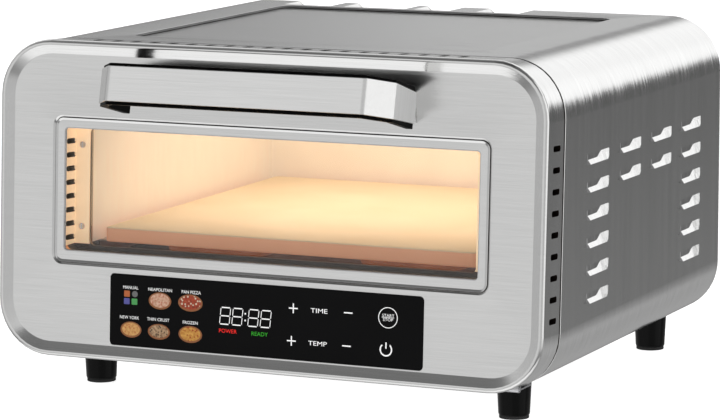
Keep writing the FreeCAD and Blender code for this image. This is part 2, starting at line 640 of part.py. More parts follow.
def window_channel():
    """The frame between the two panes, with a row of vent slots in each side wall."""
    front = GLASS_Y + GLASS_T
    wall = (185.5, 119.3, 223.1, 6)
    open_ = (184.5, 120.3, 222.1, 5)
    tube = frame(wall, open_, front, CHANNEL_REAR)
    flange = frame((192, 113, 230, 8), open_, front, front + 1)
    back = prism(*wall, CHANNEL_REAR - 1, CHANNEL_REAR)
    back = back.cut(prism(171.5, 123.5, 219.5, 4, CHANNEL_REAR - 2, CHANNEL_REAR + 1))
    slots = [rounded(block(-190, 190, 13.2, 28.2, v - 2.2, v + 2.2), 2.0, (1, 0, 0))
             for v in (130.4 + 11.26 * k for k in range(8))]
    holes = [rod((x, 20, v), (0, 1, 0), 1.3, 12) for x, v in retainer_places()]
    return fuse([tube, flange, back]).cut(group(slots)).cut(group(holes))


def retainer_places():
    return [(x, v) for x in (-178.0, 178.0) for v in (139.0, 206.0)]


def retainer_screws():
    return group(screw((x, CHANNEL_REAR - 1, v), (0, 1, 0), head_r=2.6, head_h=1.3,
                       shank_r=1.3, shank=5.2) for x, v in retainer_places())


def inner_glass():
    pane = prism(181.5, 118, 225, 4, CHANNEL_REAR, CHANNEL_REAR + GLASS_T)
    return pane.cut(group(rod((x, 20, v), (0, 1, 0), 1.6, 20) for x, v in retainer_places()))


def door_inner_panel():
    plate = prism(HALF - SHEET, DOOR_LOW + SHEET, DOOR_TOP - SHEET, CORNER_R - SHEET,
                  DOOR_DEPTH - SHEET, DOOR_DEPTH)
    plate = plate.cut(prism(171.5, 123.5, 219.5, 4, 20, 40))
    plate = plate.cut(group(rod((x, 20, v), (0, 1, 0), 1.3, 20) for x, v in retainer_places()))
    notch = block(HINGE_X - HINGE_HALF - 1, HINGE_X + HINGE_HALF + 1, 20, 40,
                  DOOR_LOW - 1, HINGE_V + KNUCKLE)
    return plate.cut(group(both_sides(notch)))


def door_seal():
    """A woven seal on the front frame, just clear of the closed door."""
    seal = frame((188, 108, 244, 8), (180.5, 112, 236.5, 5), DOOR_DEPTH + 0.3, FRAME_DEPTH)
    return lean(seal)


def control_glass():
    gap = 0.3
    return prism(PANEL_HALF - gap, PANEL_LOW + gap, PANEL_TOP - gap, PANEL_R - gap,
                 FLAT_Y + 0.1, FLAT_Y + 3.1)


def touch_board():
    return block(-128, 128, FLAT_Y + 3.1, FLAT_Y + 4.7, 51, 101)


def display_module():
    return block(-47, 8, FLAT_Y + 4.7, FLAT_Y + 12, 70, 96)


def control_housing():
    """A sheet cover that screens the controls from the heat behind them."""
    outer = (148, 40, 108.2, 5)
    inner = (147, 41, 107.2, 4)
    box = prism(*outer, FLAT_Y + FACE_T, DOOR_DEPTH - SHEET)
    return box.cut(prism(*inner, FLAT_Y, DOOR_DEPTH - SHEET - 1))


def door_magnet():
    back = DOOR_DEPTH - SHEET
    return block(-206, -194, back - 4, back, 87, 93)


def handle_outline(inset):
    """Half of the bow's outline, from the door face to its middle, moved inwards."""
    side = HANDLE_END - inset
    run, rise = HANDLE_END - HANDLE_FACE, HANDLE_OUT - HANDLE_KNEE
    length = math.hypot(run, rise)
    nx, ny = rise / length, run / length
    reach = nx * HANDLE_END + ny * HANDLE_KNEE - inset
    out = HANDLE_OUT - inset
    return [(side, -8.0), (side, (reach - nx * side) / ny), ((reach - ny * out) / nx, out)]


def handle_bow(outer, inner, half_height):
    """The band between two insets of the outline, in the handle's own frame."""
    solids = []
    for inset in (outer, inner):
        half = handle_outline(inset)
        points = half + [(-x, out) for x, out in reversed(half)]
        solids.append(extruded([(x, -out, -half_height) for x, out in points],
                               (0, 0, 2 * half_height)))
    bow = solids[0].cut(solids[1])
    bow.rotate(V(0, 0, 0), V(1, 0, 0), -HANDLE_TILT)
    bow.translate(V(0, FLAT_Y, HANDLE_V))
    return bow.cut(block(-200, 200, FLAT_Y, 60, 100, 400))


def handle_core():
    core = handle_bow(STRIP_T, STRIP_T + CORE_T, CORE_HALF_H)
    return core.cut(group(rod((x, -8, HANDLE_V), (0, 1, 0), 1.9, 14) for x in HANDLE_SCREWS))


def handle_strip():
    return handle_bow(0.0, STRIP_T, STRIP_HALF_H)


def handle_screws():
    return group(screw((x, FLAT_Y + FACE_T, HANDLE_V), (0, -1, 0), shank=11.0)
                 for x in HANDLE_SCREWS)


# ---- Assembly --------------------------------------------------------------------------
def nodes():
    """Every node's shape, in world axes."""
    parts = {maker.__name__: maker() for maker in (
        outer_wrap, base_plate, rear_panel, front_frame, cavity_liner, cavity_insulation,
        heater_bushes, heater_clips, temperature_probe, pizza_stone, lamp_socket, lamp_bulb,
        lamp_lens, cavity_supports, thermal_cutout, power_board, board_standoffs,
        board_components, terminal_block, cord_gland, fan_housing, fan_motor, fan_rotor,
        reed_switch, foot_pads, foot_screws, rear_screws, frame_screws, door_seal)}
    for name, z in HEATERS.items():
        parts[name + "_heater"] = heater(z)
    for name, side in (("left", -1), ("right", 1)):
        parts["stone_rail_" + name] = stone_rail(side)
        parts["hinge_leaf_" + name] = body_leaf(side)
        parts["hinge_pin_" + name] = hinge_pin(side)
        parts["front_%s_foot" % name] = foot(side * FOOT_X, FOOT_FRONT_Y)
        parts["rear_%s_foot" % name] = foot(side * FOOT_X, FOOT_REAR_Y)
        parts["door_leaf_" + name] = lean(door_leaf(side))
    for maker in (door_shell, outer_glass, window_channel, retainer_screws, inner_glass,
                  door_inner_panel, control_glass, touch_board, display_module,
                  control_housing, door_magnet, handle_core, handle_strip, handle_screws):
        parts[maker.__name__] = lean(maker())
    return parts


def main():
    """Put the origin under the middle of the whole oven and write one STEP per node."""
    os.makedirs("parts", exist_ok=True)
    parts = nodes()
    box = group(parts.values()).BoundBox
    shift = -(box.YMin + box.YMax) / 2
    for name, shape in parts.items():
        shape.translate(V(0, shift, 0))
        shape.exportStep(os.path.join("parts", name + ".step"))
        print("%-20s %2d solids, valid %s" % (name, len(shape.Solids), shape.isValid()))
    print("%d nodes, moved %.4f mm in Y" % (len(parts), shift))


main()
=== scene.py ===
"""Looks of the countertop pizza oven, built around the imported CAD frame."""
import json
import math

import bmesh
import bpy
from mathutils import Matrix, Vector


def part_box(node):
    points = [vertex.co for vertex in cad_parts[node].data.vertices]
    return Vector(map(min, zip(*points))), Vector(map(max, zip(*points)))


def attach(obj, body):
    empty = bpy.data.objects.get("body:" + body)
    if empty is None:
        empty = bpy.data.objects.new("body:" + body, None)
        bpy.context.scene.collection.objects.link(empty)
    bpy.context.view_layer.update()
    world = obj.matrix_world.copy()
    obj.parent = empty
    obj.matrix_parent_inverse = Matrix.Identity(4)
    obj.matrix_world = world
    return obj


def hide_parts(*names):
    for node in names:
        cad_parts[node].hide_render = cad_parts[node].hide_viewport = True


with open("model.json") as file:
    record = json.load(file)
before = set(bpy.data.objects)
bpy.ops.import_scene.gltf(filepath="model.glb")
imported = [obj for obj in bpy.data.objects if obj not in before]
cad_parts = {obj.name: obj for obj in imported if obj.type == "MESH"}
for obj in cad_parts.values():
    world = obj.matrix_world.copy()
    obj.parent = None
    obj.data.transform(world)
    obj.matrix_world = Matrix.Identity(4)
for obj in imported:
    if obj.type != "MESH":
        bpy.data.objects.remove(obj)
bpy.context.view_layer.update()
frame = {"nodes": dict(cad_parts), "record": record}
NODES = frame["nodes"]
MM = 0.001

# ---- Sizes repeated from the CAD, millimetres -------------------------------------------
RAKE = math.radians(3.16)
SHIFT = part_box("pizza_stone")[0].y / MM - 52.0
HALF, CORNER_R = 240.0, 46.0
BODY_LOW, BODY_TOP, BODY_REAR = 32.1, 290.1, 420.0
DOOR_DEPTH, DOOR_GAP = 34.0, 1.2
DOOR_LOW = (BODY_LOW + DOOR_DEPTH * math.sin(RAKE)) / math.cos(RAKE)
DOOR_TOP = (BODY_TOP + DOOR_DEPTH * math.sin(RAKE)) / math.cos(RAKE)
EDGE_R, BEVEL, FLAT_Y = 3.4, 8.2, 4.0
WINDOW = (182.0, 121.5, 220.9, 2.5)
GROOVE = (190.6, 111.6, 229.4, 7.0)
PANEL = (138.4, 47.0, 105.2, 3.5)
WINDOW_INSET = 1.4
VENT_LONG, SIDE_VENT_SHORT, TOP_VENT_SHORT = 7.4, 2.35, 3.1  # half lengths of the vent slots
SIDE_VENT_Y, TOP_VENT_Y, VENT_DEPTH = 19.1, 20.4, 6.0
SIDE_VENTS = [225.2 - 16.71 * k for k in range(9)]
TOP_VENTS = [(k - 9.5) * 16.87 for k in range(20)]
HANDLE_V, HANDLE_TILT = 251.8, math.radians(10.9)
HANDLE_END, HANDLE_KNEE, HANDLE_OUT, HANDLE_FACE = 128.0, 41.0, 63.2, 110.8
BASE_OPENING = (178.0, 60.0, 416.0)
RECESS = (157.0, 85.0, 378.0, 12.0)
EXHAUSTS = ((-158.0, -118.5), (-99.5, -46.0), (-31.5, -3.0), (28.5, 63.0))
LOUVRE_Y = (97.0, 171.2, 245.4, 319.6)
LOUVRE_L, LOUVRE_H, LOUVRE_OUT, LOUVRE_SHEET = 49.5, 7.8, 3.0, 0.8
# Shares of a louvre's length or height: its front end; the height above its lip, then the length
# where the lip stays narrow and the length where it widens; the bulge reached above the lip
FRONT_END = 0.016
LIP_START, LIP_REACH, LIP_FADE = 0.56, 0.42, 0.2
FLAT_RISE = 0.08
LOUVRES = [(y, 211.0 - 22.17 * row) for row in range(6)
           for column, y in enumerate(LOUVRE_Y) if row < 2 or column in (0, 3)]

# ---- Camera and floor, metres -----------------------------------------------------------
CAMERA_PLACE = (1.2227, -2.5010, 0.5877)
CAMERA_TURN = [math.radians(a) for a in (24.40, 8.617, 0.129)]  # yaw, pitch, roll
CAMERA_LENS, CAMERA_SENSOR = 178.38, 36.0
FLOOR_SIZE, FLOOR_DROP = 30, 0.0002

BODY = Matrix.Translation((0, SHIFT * MM, 0))
FRONT = BODY @ Matrix.Rotation(-RAKE, 4, "X")


# ---- Mesh helpers -----------------------------------------------------------------------
def outline(half, low, high, radius, steps=10, hold=0.5):
    """A rounded rectangle in (x, z), anticlockwise from the right side.
    Each arc has a point just before and after it, so the flats between them shade as flat."""
    points = []
    for cx, cz, start in ((half - radius, high - radius, 0), (radius - half, high - radius, 90),
                          (radius - half, low + radius, 180), (half - radius, low + radius, 270)):
        arc = []
        for k in range(steps + 1):
            a = math.radians(start + 90 * k / steps)
            arc.append(Vector((cx + radius * math.cos(a), cz + radius * math.sin(a))))
        first, last = math.radians(start), math.radians(start + 90)
        points.append(arc[0] - hold * Vector((-math.sin(first), math.cos(first))))
        points += arc
        points.append(arc[-1] + hold * Vector((-math.sin(last), math.cos(last))))
    return points


def loop_flats(points):
    """Index of the point before each long straight: right, top, left, bottom."""
    n = len(points) // 4
    return [(n * k - 1) % len(points) for k in range(4)]


def ring(bm, points):
    return [bm.verts.new(Vector(p) * MM) for p in points]


def skin(bm, a, b, skip=(), mat=0):
    n = len(a)
    for i in range(n):
        if i not in skip:
            j = (i + 1) % n
            bm.faces.new((a[i], a[j], b[j], b[i])).material_index = mat


def fill(bm, rings, mat=0):
    """Fills the space between an outer ring and any holes with triangles."""
    edges = []
    for r in rings:
        for i, v in enumerate(r):
            w = r[(i + 1) % len(r)]
            edges.append(bm.edges.get((v, w)) or bm.edges.new((v, w)))
    made = bmesh.ops.triangle_fill(bm, edges=edges, use_beauty=True)
    for item in made["geom"]:
        if isinstance(item, bmesh.types.BMFace):
            item.material_index = mat


def make(name, bm, matrix, body, mats, sharp=20, recalc=True):
    """Turns the bmesh into an object that rides on a CAD body."""
    if recalc:
        bmesh.ops.recalc_face_normals(bm, faces=bm.faces)
    mesh = bpy.data.meshes.new(name)
    bm.to_mesh(mesh)
    bm.free()
    for m in mats:
        mesh.materials.append(m)
    for p in mesh.polygons:
        p.use_smooth = True
    mesh.set_sharp_from_angle(angle=math.radians(sharp))
    obj = bpy.data.objects.new(name, mesh)
    bpy.context.scene.collection.objects.link(obj)
    obj.matrix_world = matrix
    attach(obj, body)
    return obj


# ---- Material helpers -------------------------------------------------------------------
class Graph:
    """A material's node tree with a Principled shader."""

    def __init__(self, name, **sockets):
        self.mat = bpy.data.materials.new(name)
        self.mat.use_nodes = True
        self.tree = self.mat.node_tree
        self.shader = self.tree.nodes["Principled BSDF"]
        for key, value in sockets.items():
            self.shader.inputs[key.replace("_", " ")].default_value = value

    def node(self, kind, inputs=(), **settings):
        made = self.tree.nodes.new(kind)
        for key, value in settings.items():
            setattr(made, key, value)
        for key, value in dict(inputs).items():
            if isinstance(value, bpy.types.NodeSocket):
                self.tree.links.new(value, made.inputs[key])
            else:
                made.inputs[key].default_value = value
        return made

    def drive(self, socket, value):
        self.tree.links.new(value, self.shader.inputs[socket])

    def coords(self, scale):
        place = self.node("ShaderNodeTexCoord").outputs["Object"]
        return self.node("ShaderNodeMapping", {"Vector": place, "Scale": scale}).outputs[0]

    def noise(self, scale, detail=2.0, rough=0.5):
        """Noise whose features are 1 / scale metres long on each axis."""
        return self.node("ShaderNodeTexNoise", {"Vector": self.coords(scale), "Scale": 1.0,
                                                "Detail": detail, "Roughness": rough}).outputs[0]

    def span(self, value, low, high, from_low=0.3, from_high=0.7):
        return self.node("ShaderNodeMapRange",
                         {"Value": value, "From Min": from_low, "From Max": from_high,
                          "To Min": low, "To Max": high}).outputs[0]

    def tint(self, value, dark, light):
        return self.node("ShaderNodeMix",
                         {0: self.span(value, 0, 1), 6: (*dark, 1), 7: (*light, 1)},
                         data_type="RGBA").outputs[2]

    def bump(self, value, strength, distance):
        made = self.node("ShaderNodeBump",
                         {"Height": value, "Strength": strength, "Distance": distance})
        self.drive("Normal", made.outputs[0])


def brushed(name, along, across, rough=(0.22, 0.30), colour=(0.74, 0.74, 0.735), axis="Y",
            waver=0.1, aniso=0.7, streak=0.08, grain=1700):
    """Brushed steel: along and across say how the grain runs over object X, Y and Z.
    Each line of grain leans a little along its own length by waver, which frays reflections."""
    g = Graph(name, Metallic=1.0, Anisotropic=aniso)
    fine = g.noise([a * 22 + c * grain for a, c in zip(along, across)], 3.0, 0.6)
    broad = g.noise([a * 6 + c * 160 for a, c in zip(along, across)], 2.0)
    mixed = g.node("ShaderNodeMix", {0: 0.2, 2: fine, 3: broad}).outputs[0]
    g.drive("Roughness", g.span(mixed, *rough, 0.35, 0.65))
    g.drive("Base Color",
            g.tint(mixed, [c * (1 - streak) for c in colour],
                   [c * (1 + streak / 2) for c in colour]))
    tangent = g.node("ShaderNodeTangent", direction_type="RADIAL", axis=axis).outputs[0]
    g.drive("Tangent", tangent)
    lean = g.node("ShaderNodeVectorMath", {0: tangent}, operation="SCALE")
    g.tree.links.new(g.span(fine, -waver, waver), lean.inputs["Scale"])
    normal = g.node("ShaderNodeNewGeometry").outputs["Normal"]
    total = g.node("ShaderNodeVectorMath", {0: normal, 1: lean.outputs[0]},
                   operation="ADD").outputs[0]
    g.drive("Normal", g.node("ShaderNodeVectorMath", {0: total}, operation="NORMALIZE").outputs[0])
    return g.mat


def plain_steel(name, colour, rough=(0.3, 0.45)):
    """Mill-finish sheet with a faint rolled grain and soft mottling."""
    g = Graph(name, Metallic=1.0)
    g.drive("Roughness", g.span(g.noise((60, 60, 60), 4.0), *rough))
    g.drive("Base Color", g.tint(g.noise((12, 90, 12), 3.0), [c * 0.88 for c in colour], colour))
    g.bump(g.noise((300, 40, 300), 2.0), 0.08, 0.0002)
    return g.mat


def plastic(name, colour, rough, grain=900.0, bump=0.05, **sockets):
    g = Graph(name, **sockets)
    g.drive("Base Color",
            g.tint(g.noise((30, 30, 30)), [c * 0.8 for c in colour], [c * 1.15 for c in colour]))
    g.drive("Roughness", g.span(g.noise((45, 45, 45)), *rough))
    g.bump(g.noise((grain,) * 3, 3.0), bump, 0.0002)
    return g.mat


def fabric(name, colour):
    g = Graph(name, Roughness=0.95)
    place = g.coords((700, 700, 700))
    weave = g.node("ShaderNodeTexWave",
                   {"Vector": place, "Scale": 1.0, "Distortion": 1.5}).outputs[1]
    g.drive("Base Color", g.tint(weave, [c * 0.6 for c in colour], colour))
    g.bump(weave, 0.5, 0.0004)
    return g.mat


def glass(name, ior, colour=(1, 1, 1), rough=0.0):
    g = Graph(name, Transmission_Weight=1.0, IOR=ior, Roughness=rough)
    g.shader.inputs["Base Color"].default_value = (*colour, 1)
    return g.mat


def printed(name, colour, glow=0.0):
    """Ink or a lit segment, with the faint unevenness of screen print."""
    g = Graph(name, Roughness=0.5, Emission_Strength=glow, Emission_Color=(*colour, 1),
              Specular_IOR_Level=0.2)
    g.drive("Base Color", g.tint(g.noise((900, 900, 900)), [c * 0.9 for c in colour], colour))
    return g.mat


STEEL_FRONT = brushed("steel_front", (1, 0, 0), (0, 1, 1), rough=(0.17, 0.24), axis="Z", waver=0.03)
STEEL_WRAP = brushed("steel_wrap", (1, 0, 1), (0, 1, 0), rough=(0.13, 0.19), axis="Y", waver=0.055,
                     streak=0.14, grain=1300)
STEEL_EDGE = brushed("steel_edge", (1, 0, 0), (0, 1, 1), rough=(0.11, 0.16), axis="Z", waver=0.02,
                     aniso=0.3)
# A flat grey in place of the steel's reflections on the window fold and the handle's inner side:
# painted shade.
FOLD_PAINTED_GREY = plastic("fold_painted_grey", (0.42, 0.42, 0.42), (0.6, 0.8), Specular_IOR_Level=0.1)
GROOVE_SHADE = plastic("groove_shade", (0.15, 0.145, 0.14), (0.6, 0.8), Specular_IOR_Level=0.1)
FOLD_SHADE = plastic("fold_shade", (0.22, 0.22, 0.22), (0.6, 0.8), Specular_IOR_Level=0.1)
STEEL_HANDLE = brushed("steel_handle", (1, 0, 0), (0, 1, 1), rough=(0.14, 0.22), axis="Z",
                       waver=0.03)
# A lighter copy of the handle steel for the legs: painted light on the leg facets.
LEG_STEEL_PAINTED_LIGHT = brushed("leg_steel_painted_light", (0, 0, 1), (1, 1, 0), rough=(0.4, 0.5), colour=(0.93, 0.93, 0.925),
                    axis="Z", waver=0.03)
# Near black standing in for the shade inside the vent slots, the door gap, the recess and under the
# louvres: painted shade.
SLOT_PAINTED_SHADE = plastic("slot_painted_shade", (0.010, 0.007, 0.006), (0.7, 0.9), Specular_IOR_Level=0.0)
BLACK_GLOSS = plastic("black_gloss", (0.0015, 0.0015, 0.0015), (0.12, 0.2), bump=0.02,
                      Specular_IOR_Level=0.12)
GRIP_BLACK = plastic("grip_black", (0.001, 0.001, 0.001), (0.4, 0.5), bump=0.02,
                     Specular_IOR_Level=0.03)
INSIDE_STEEL = plain_steel("inside_steel", (0.55, 0.54, 0.52))

# Material slots of the door shell, and of the cover and its louvres
DOOR_MATS = [STEEL_FRONT, SLOT_PAINTED_SHADE, STEEL_WRAP, STEEL_EDGE, FOLD_PAINTED_GREY, GROOVE_SHADE]
D_FACE, D_SHADE, D_SIDE, D_RIM, D_FOLD, D_GROOVE = range(len(DOOR_MATS))
COVER_MATS = [STEEL_WRAP, SLOT_PAINTED_SHADE, FOLD_SHADE]
C_FACE, C_SHADE, C_FOLD = range(len(COVER_MATS))


# ---- Door shell -------------------------------------------------------------------------
def at_depth(points, y):
    return [(p.x, y, p.y) for p in points]


def grown(spec, by, **kw):
    half, low, high, radius = spec
    return outline(half + by, low - by, high + by, max(radius + by, 0.3), **kw)


def pocket(bm, points, inward, depth, wall_depth, mat, dark):
    """A hole's bright cut edge with a dark inside further in, painted shade; returns its mouth
    ring.
    """
    inward = Vector(inward)
    mouth = ring(bm, points)
    wall = ring(bm, [Vector(p) + inward * wall_depth for p in points])
    deep = ring(bm, [Vector(p) + inward * depth for p in points])
    skin(bm, mouth, wall, mat=mat)
    skin(bm, wall, deep, mat=dark)
    fill(bm, [deep], mat=dark)
    return mouth


def slot_outline(long_half, short_half, steps=4):
    """A rounded slot centred on the origin, in its own (long, short) plane."""
    return outline(long_half, -short_half, short_half, short_half * 0.75, steps=steps, hold=0.05)


def patch(bm, a, b, i, holes, mat=0):
    """Fills one flat strip between two rings around the given hole rings."""
    j = (i + 1) % len(a)
    fill(bm, [[a[i], a[j], b[j], b[i]]] + holes, mat)


# How far each ring of the groove lies outside its middle line, and how deep; both lips slope inward
GROOVE_PROFILE = [(2.3, 0), (2.05, 0.05), (1.8, 0.2), (0.3, 1.15), (0.16, 1.3), (0.12, 1.9),
                  (0, 2.0), (-0.12, 1.9), (-0.16, 0.7), (-0.3, 0.55), (-1.8, 1.2), (-2.05, 1.35),
                  (-2.3, WINDOW_INSET)]


def door_shell():
    outer = (HALF, DOOR_LOW, DOOR_TOP, CORNER_R)
    steps = 7
    profile = [(EDGE_R * (1 - math.cos(a)), EDGE_R * (1 - math.sin(a)))
               for a in (math.pi / 2 * k / steps for k in range(steps + 1))]
    ramp = [(EDGE_R + 0.5, 0.07), (EDGE_R + 1.1, 0.32), (EDGE_R + BEVEL - 0.5, FLAT_Y - 0.22),
            (EDGE_R + BEVEL + 0.1, FLAT_Y)]
    bm = bmesh.new()
    flats = loop_flats(outline(*outer))
    back = ring(bm, at_depth(grown(outer, 0), DOOR_DEPTH - 0.7))
    side = ring(bm, at_depth(grown(outer, 0), EDGE_R + 0.3))
    skin(bm, back, side, skip=flats, mat=D_SIDE)
    for i, turn in zip(flats, range(4)):
        holes = []
        if turn in (0, 2):
            x = HALF if turn == 0 else -HALF
            for v in SIDE_VENTS:
                points = [(x, SIDE_VENT_Y + p.x, v + p.y)
                          for p in slot_outline(VENT_LONG, SIDE_VENT_SHORT)]
                inward = (-x / HALF, 0, 0)
                holes.append(pocket(bm, points, inward, VENT_DEPTH, 0.4, D_SIDE, D_SHADE))
        if turn == 1:
            for u in TOP_VENTS:
                points = [(u + p.y, TOP_VENT_Y + p.x, DOOR_TOP)
                          for p in slot_outline(VENT_LONG, TOP_VENT_SHORT)]
                holes.append(pocket(bm, points, (0, 0, -1), VENT_DEPTH, 0.03, D_SIDE, D_SHADE))
        patch(bm, back, side, i, holes, D_SIDE)
    lip = ring(bm, at_depth(grown(outer, -0.25), DOOR_DEPTH - 0.35))
    inner = ring(bm, at_depth(grown(outer, -1.0), DOOR_DEPTH))
    deep = ring(bm, at_depth(grown(outer, -1.0), DOOR_DEPTH - 2.0))
    skin(bm, lip, back, mat=D_SIDE)
    # The door's back lip and the gap behind it are painted shade.
    skin(bm, inner, lip, mat=D_SHADE)
    skin(bm, deep, inner, mat=D_SHADE)
    last = side
    for grow, y in profile + ramp:
        here = ring(bm, at_depth(grown(outer, -grow), y))
        skin(bm, last, here, mat=D_RIM)
        last = here
    face = ring(bm, at_depth(grown(outer, -(EDGE_R + BEVEL + 0.6)), FLAT_Y))
    skin(bm, last, face, mat=D_RIM)
    groove = [ring(bm, at_depth(grown(GROOVE, by), FLAT_Y + y)) for by, y in GROOVE_PROFILE]
    middle = len(groove) // 2
    for k, (a, b) in enumerate(zip(groove, groove[1:])):
        skin(bm, a, b, mat=D_GROOVE if middle - 2 <= k <= middle + 1 else D_RIM)
    panel = [ring(bm, at_depth(grown(PANEL, by), FLAT_Y + y)) for by, y in
             ((0.5, 0), (0.25, 0.02), (0, 0.3), (0, 2.5))]
    for a, b in zip(panel, panel[1:]):
        skin(bm, a, b, mat=D_FACE)
    window = [ring(bm, at_depth(grown(WINDOW, by), FLAT_Y + WINDOW_INSET + y)) for by, y in
              ((0.9, 0), (0.5, 0.02), (0.2, 0.12), (0.04, 0.35), (0, 0.6), (0, 2.6))]
    # The window's fold takes the flat painted-shade grey.
    for a, b in zip(window, window[1:]):
        skin(bm, a, b, mat=D_FOLD)
    fill(bm, [face, groove[0], panel[0]])
    fill(bm, [groove[-1], window[0]])
    shell = make("door_skin", bm, FRONT, "door", DOOR_MATS)
    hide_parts("door_shell")


# ---- Handle -----------------------------------------------------------------------------
def bent_path(corners, radii, steps=8):
    """Points and outward normals along a line with rounded corners, in (x, out)."""
    points = [Vector(corners[0])]
    for before, here, after, r in zip(corners, corners[1:], corners[2:], radii):
        p, a, b = Vector(here), Vector(before) - Vector(here), Vector(after) - Vector(here)
        a.normalize(), b.normalize()
        half = a.angle(b) / 2
        reach = r / math.tan(half)
        centre = p + (a + b).normalized() * (r / math.sin(half))
        start, stop = p + a * reach - centre, p + b * reach - centre
        sweep = start.angle_signed(stop)
        for k in range(steps + 1):
            points.append(centre + Matrix.Rotation(-sweep * k / steps, 2) @ start)
    points.append(Vector(corners[-1]))
    spaced = [points[0]]
    for p in points[1:]:
        if (p - spaced[-1]).length > 1e-3:
            spaced.append(p)
    return spaced


def with_holds(points, hold=0.6):
    """Adds a point near both ends of every long straight."""
    out = []
    for p, q in zip(points, points[1:]):
        out.append(p)
        if (q - p).length > 4 * hold:
            step = (q - p).normalized() * hold
            out += [p + step, q - step]
    return out + [points[-1]]


def bow(name, inset, thick, half_at, mats, radii, edge, lined):
    """A band bent along the handle's outline; half_at(out) gives its half height.
    lined gives faces round the section another material, up to a distance from the door."""
    run, rise = HANDLE_END - HANDLE_FACE, HANDLE_OUT - HANDLE_KNEE
    length = math.hypot(run, rise)
    nx, ny = rise / length, run / length
    reach = nx * HANDLE_END + ny * HANDLE_KNEE - inset
    side, top = HANDLE_END - inset, HANDLE_OUT - inset
    middle = Vector((0, 30))  # a point inside the bow
    right = [(side, 0.2), (side, (reach - nx * side) / ny), ((reach - ny * top) / nx, top)]
    corners = right + [(-x, a) for x, a in reversed(right)]
    path = with_holds(bent_path(corners, radii))
    bm = bmesh.new()
    rings = []
    for i, p in enumerate(path):
        before = (p - path[i - 1]).normalized() if i else (path[1] - p).normalized()
        after = (path[i + 1] - p).normalized() if i < len(path) - 1 else before
        along = (before + after).normalized()
        inward = Vector((-along.y, along.x))
        if inward.dot(middle - p) < 0:
            inward = -inward
        inward /= max(0.3, math.cos(before.angle(after, 0) / 2))
        h = half_at(p.y)
        section = [(0, h - edge - 0.3), (0, h - edge), (edge * 0.3, h - edge * 0.3), (edge, h),
                   (thick - edge, h), (thick, h - edge), (thick, edge - h), (thick - edge, -h),
                   (edge, -h), (edge * 0.3, edge * 0.3 - h), (0, edge - h), (0, edge - h + 0.3)]
        rings.append(ring(bm, [((p + inward * d).x, -(p + inward * d).y, z) for d, z in section]))
    for a, b, p in zip(rings, rings[1:], path):
        skin(bm, a, b)
        for k, (mat, reach_out) in lined.items():
            if p.y <= reach_out:
                m = (k + 1) % len(a)
                bm.faces.get((a[k], a[m], b[m], b[k])).material_index = mat
    bm.faces.new(rings[0])
    bm.faces.new(rings[-1])
    place = Matrix.Translation((0, FLAT_Y * MM, HANDLE_V * MM))
    tilt = place @ Matrix.Rotation(-HANDLE_TILT, 4, "X")
    return make(name, bm, FRONT @ tilt, "door", mats, sharp=30)


def handle():
    # Round the strip's section, faces 10, 11 and 0 are its outer side and 5 is its inner side
    leg, inner = (1, HANDLE_KNEE), (2, math.inf)
    # The legs take the lighter steel, painted light, and the inner side takes the flat
    # painted-shade grey.
    strip = bow("handle_band", 0.0, 1.2, lambda a: 12.2 + 1.8 * min(1, a / HANDLE_KNEE),
                [STEEL_HANDLE, LEG_STEEL_PAINTED_LIGHT, FOLD_PAINTED_GREY],
                (1.5, 7.0, 7.0, 1.5), 0.25, {0: leg, 10: leg, 11: leg, 5: inner})
    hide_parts("handle_strip")
    core = bow("handle_grip", 1.25, 5.8, lambda a: 16.5, [GRIP_BLACK],
               (1.2, 5.5, 5.5, 1.2), 0.4, {})
    core.visible_glossy = False  # the sloping ring of the door reflects the strip alone
    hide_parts("handle_core")


# ---- Body cover -------------------------------------------------------------------------
def raked(points, depth):
    """The outline laid on the leaning plane at one depth behind the front."""
    return [(p.x, depth / math.cos(RAKE) + p.y * math.tan(RAKE), p.y) for p in points]


def wrap():
    outer = (HALF, BODY_LOW, BODY_TOP, CORNER_R)
    depth = DOOR_DEPTH + DOOR_GAP
    fine = dict(steps=14)
    bm = bmesh.new()
    flats = loop_flats(outline(*outer, **fine))
    start = ring(bm, raked(grown(outer, -1.0, **fine), depth + 2))
    lip = ring(bm, raked(grown(outer, -1.0, **fine), depth))
    edge = ring(bm, raked(grown(outer, -0.3, **fine), depth + 1.3))
    front = ring(bm, raked(grown(outer, 0, **fine), depth + 1.6))
    # The cover's lip facing the door gap is painted shade.
    for a, b, mat in ((start, lip, C_SHADE), (lip, edge, C_SHADE), (edge, front, C_FACE)):
        skin(bm, a, b, mat=mat)
    rear = ring(bm, at_depth(grown(outer, 0, **fine), BODY_REAR - 0.3))
    rim = ring(bm, at_depth(grown(outer, -0.3, **fine), BODY_REAR))
    back = ring(bm, at_depth(grown(outer, -1.0, **fine), BODY_REAR))
    inside = ring(bm, at_depth(grown(outer, -1.0, **fine), BODY_REAR - 2.9))
    right, top, left, bottom = flats
    skin(bm, front, rear, skip=flats)
    skin(bm, rear, rim, skip=[top])
    skin(bm, rim, back, skip=[top])
    skin(bm, back, inside, skip=[top])
    for i, x in ((right, HALF), (left, -HALF)):
        holes = []
        for y, z in LOUVRES:
            y_end, low = y + LOUVRE_L, z - LOUVRE_H
            holes.append(ring(bm, [(x, y, z), (x, y_end, z), (x, y_end, low), (x, y, low)]))
        patch(bm, front, rear, i, holes)
    half, near, far = BASE_OPENING
    opening = ring(bm, [(x, y, BODY_LOW)
                        for x, y in ((half, near), (half, far), (-half, far), (-half, near))])
    patch(bm, front, rear, bottom, [opening])
    top_sheet(bm, front, top)
    cover = make("body_cover", bm, BODY, "housing", COVER_MATS)
    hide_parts("outer_wrap")


def flat_loop(spec, z, by=0.0):
    """The recess's rounded outline, lying flat at one height."""
    half, near, far, radius = spec
    return [(p.x, p.y, z) for p in outline(half + by, near - by, far + by, max(radius + by, 0.3))]


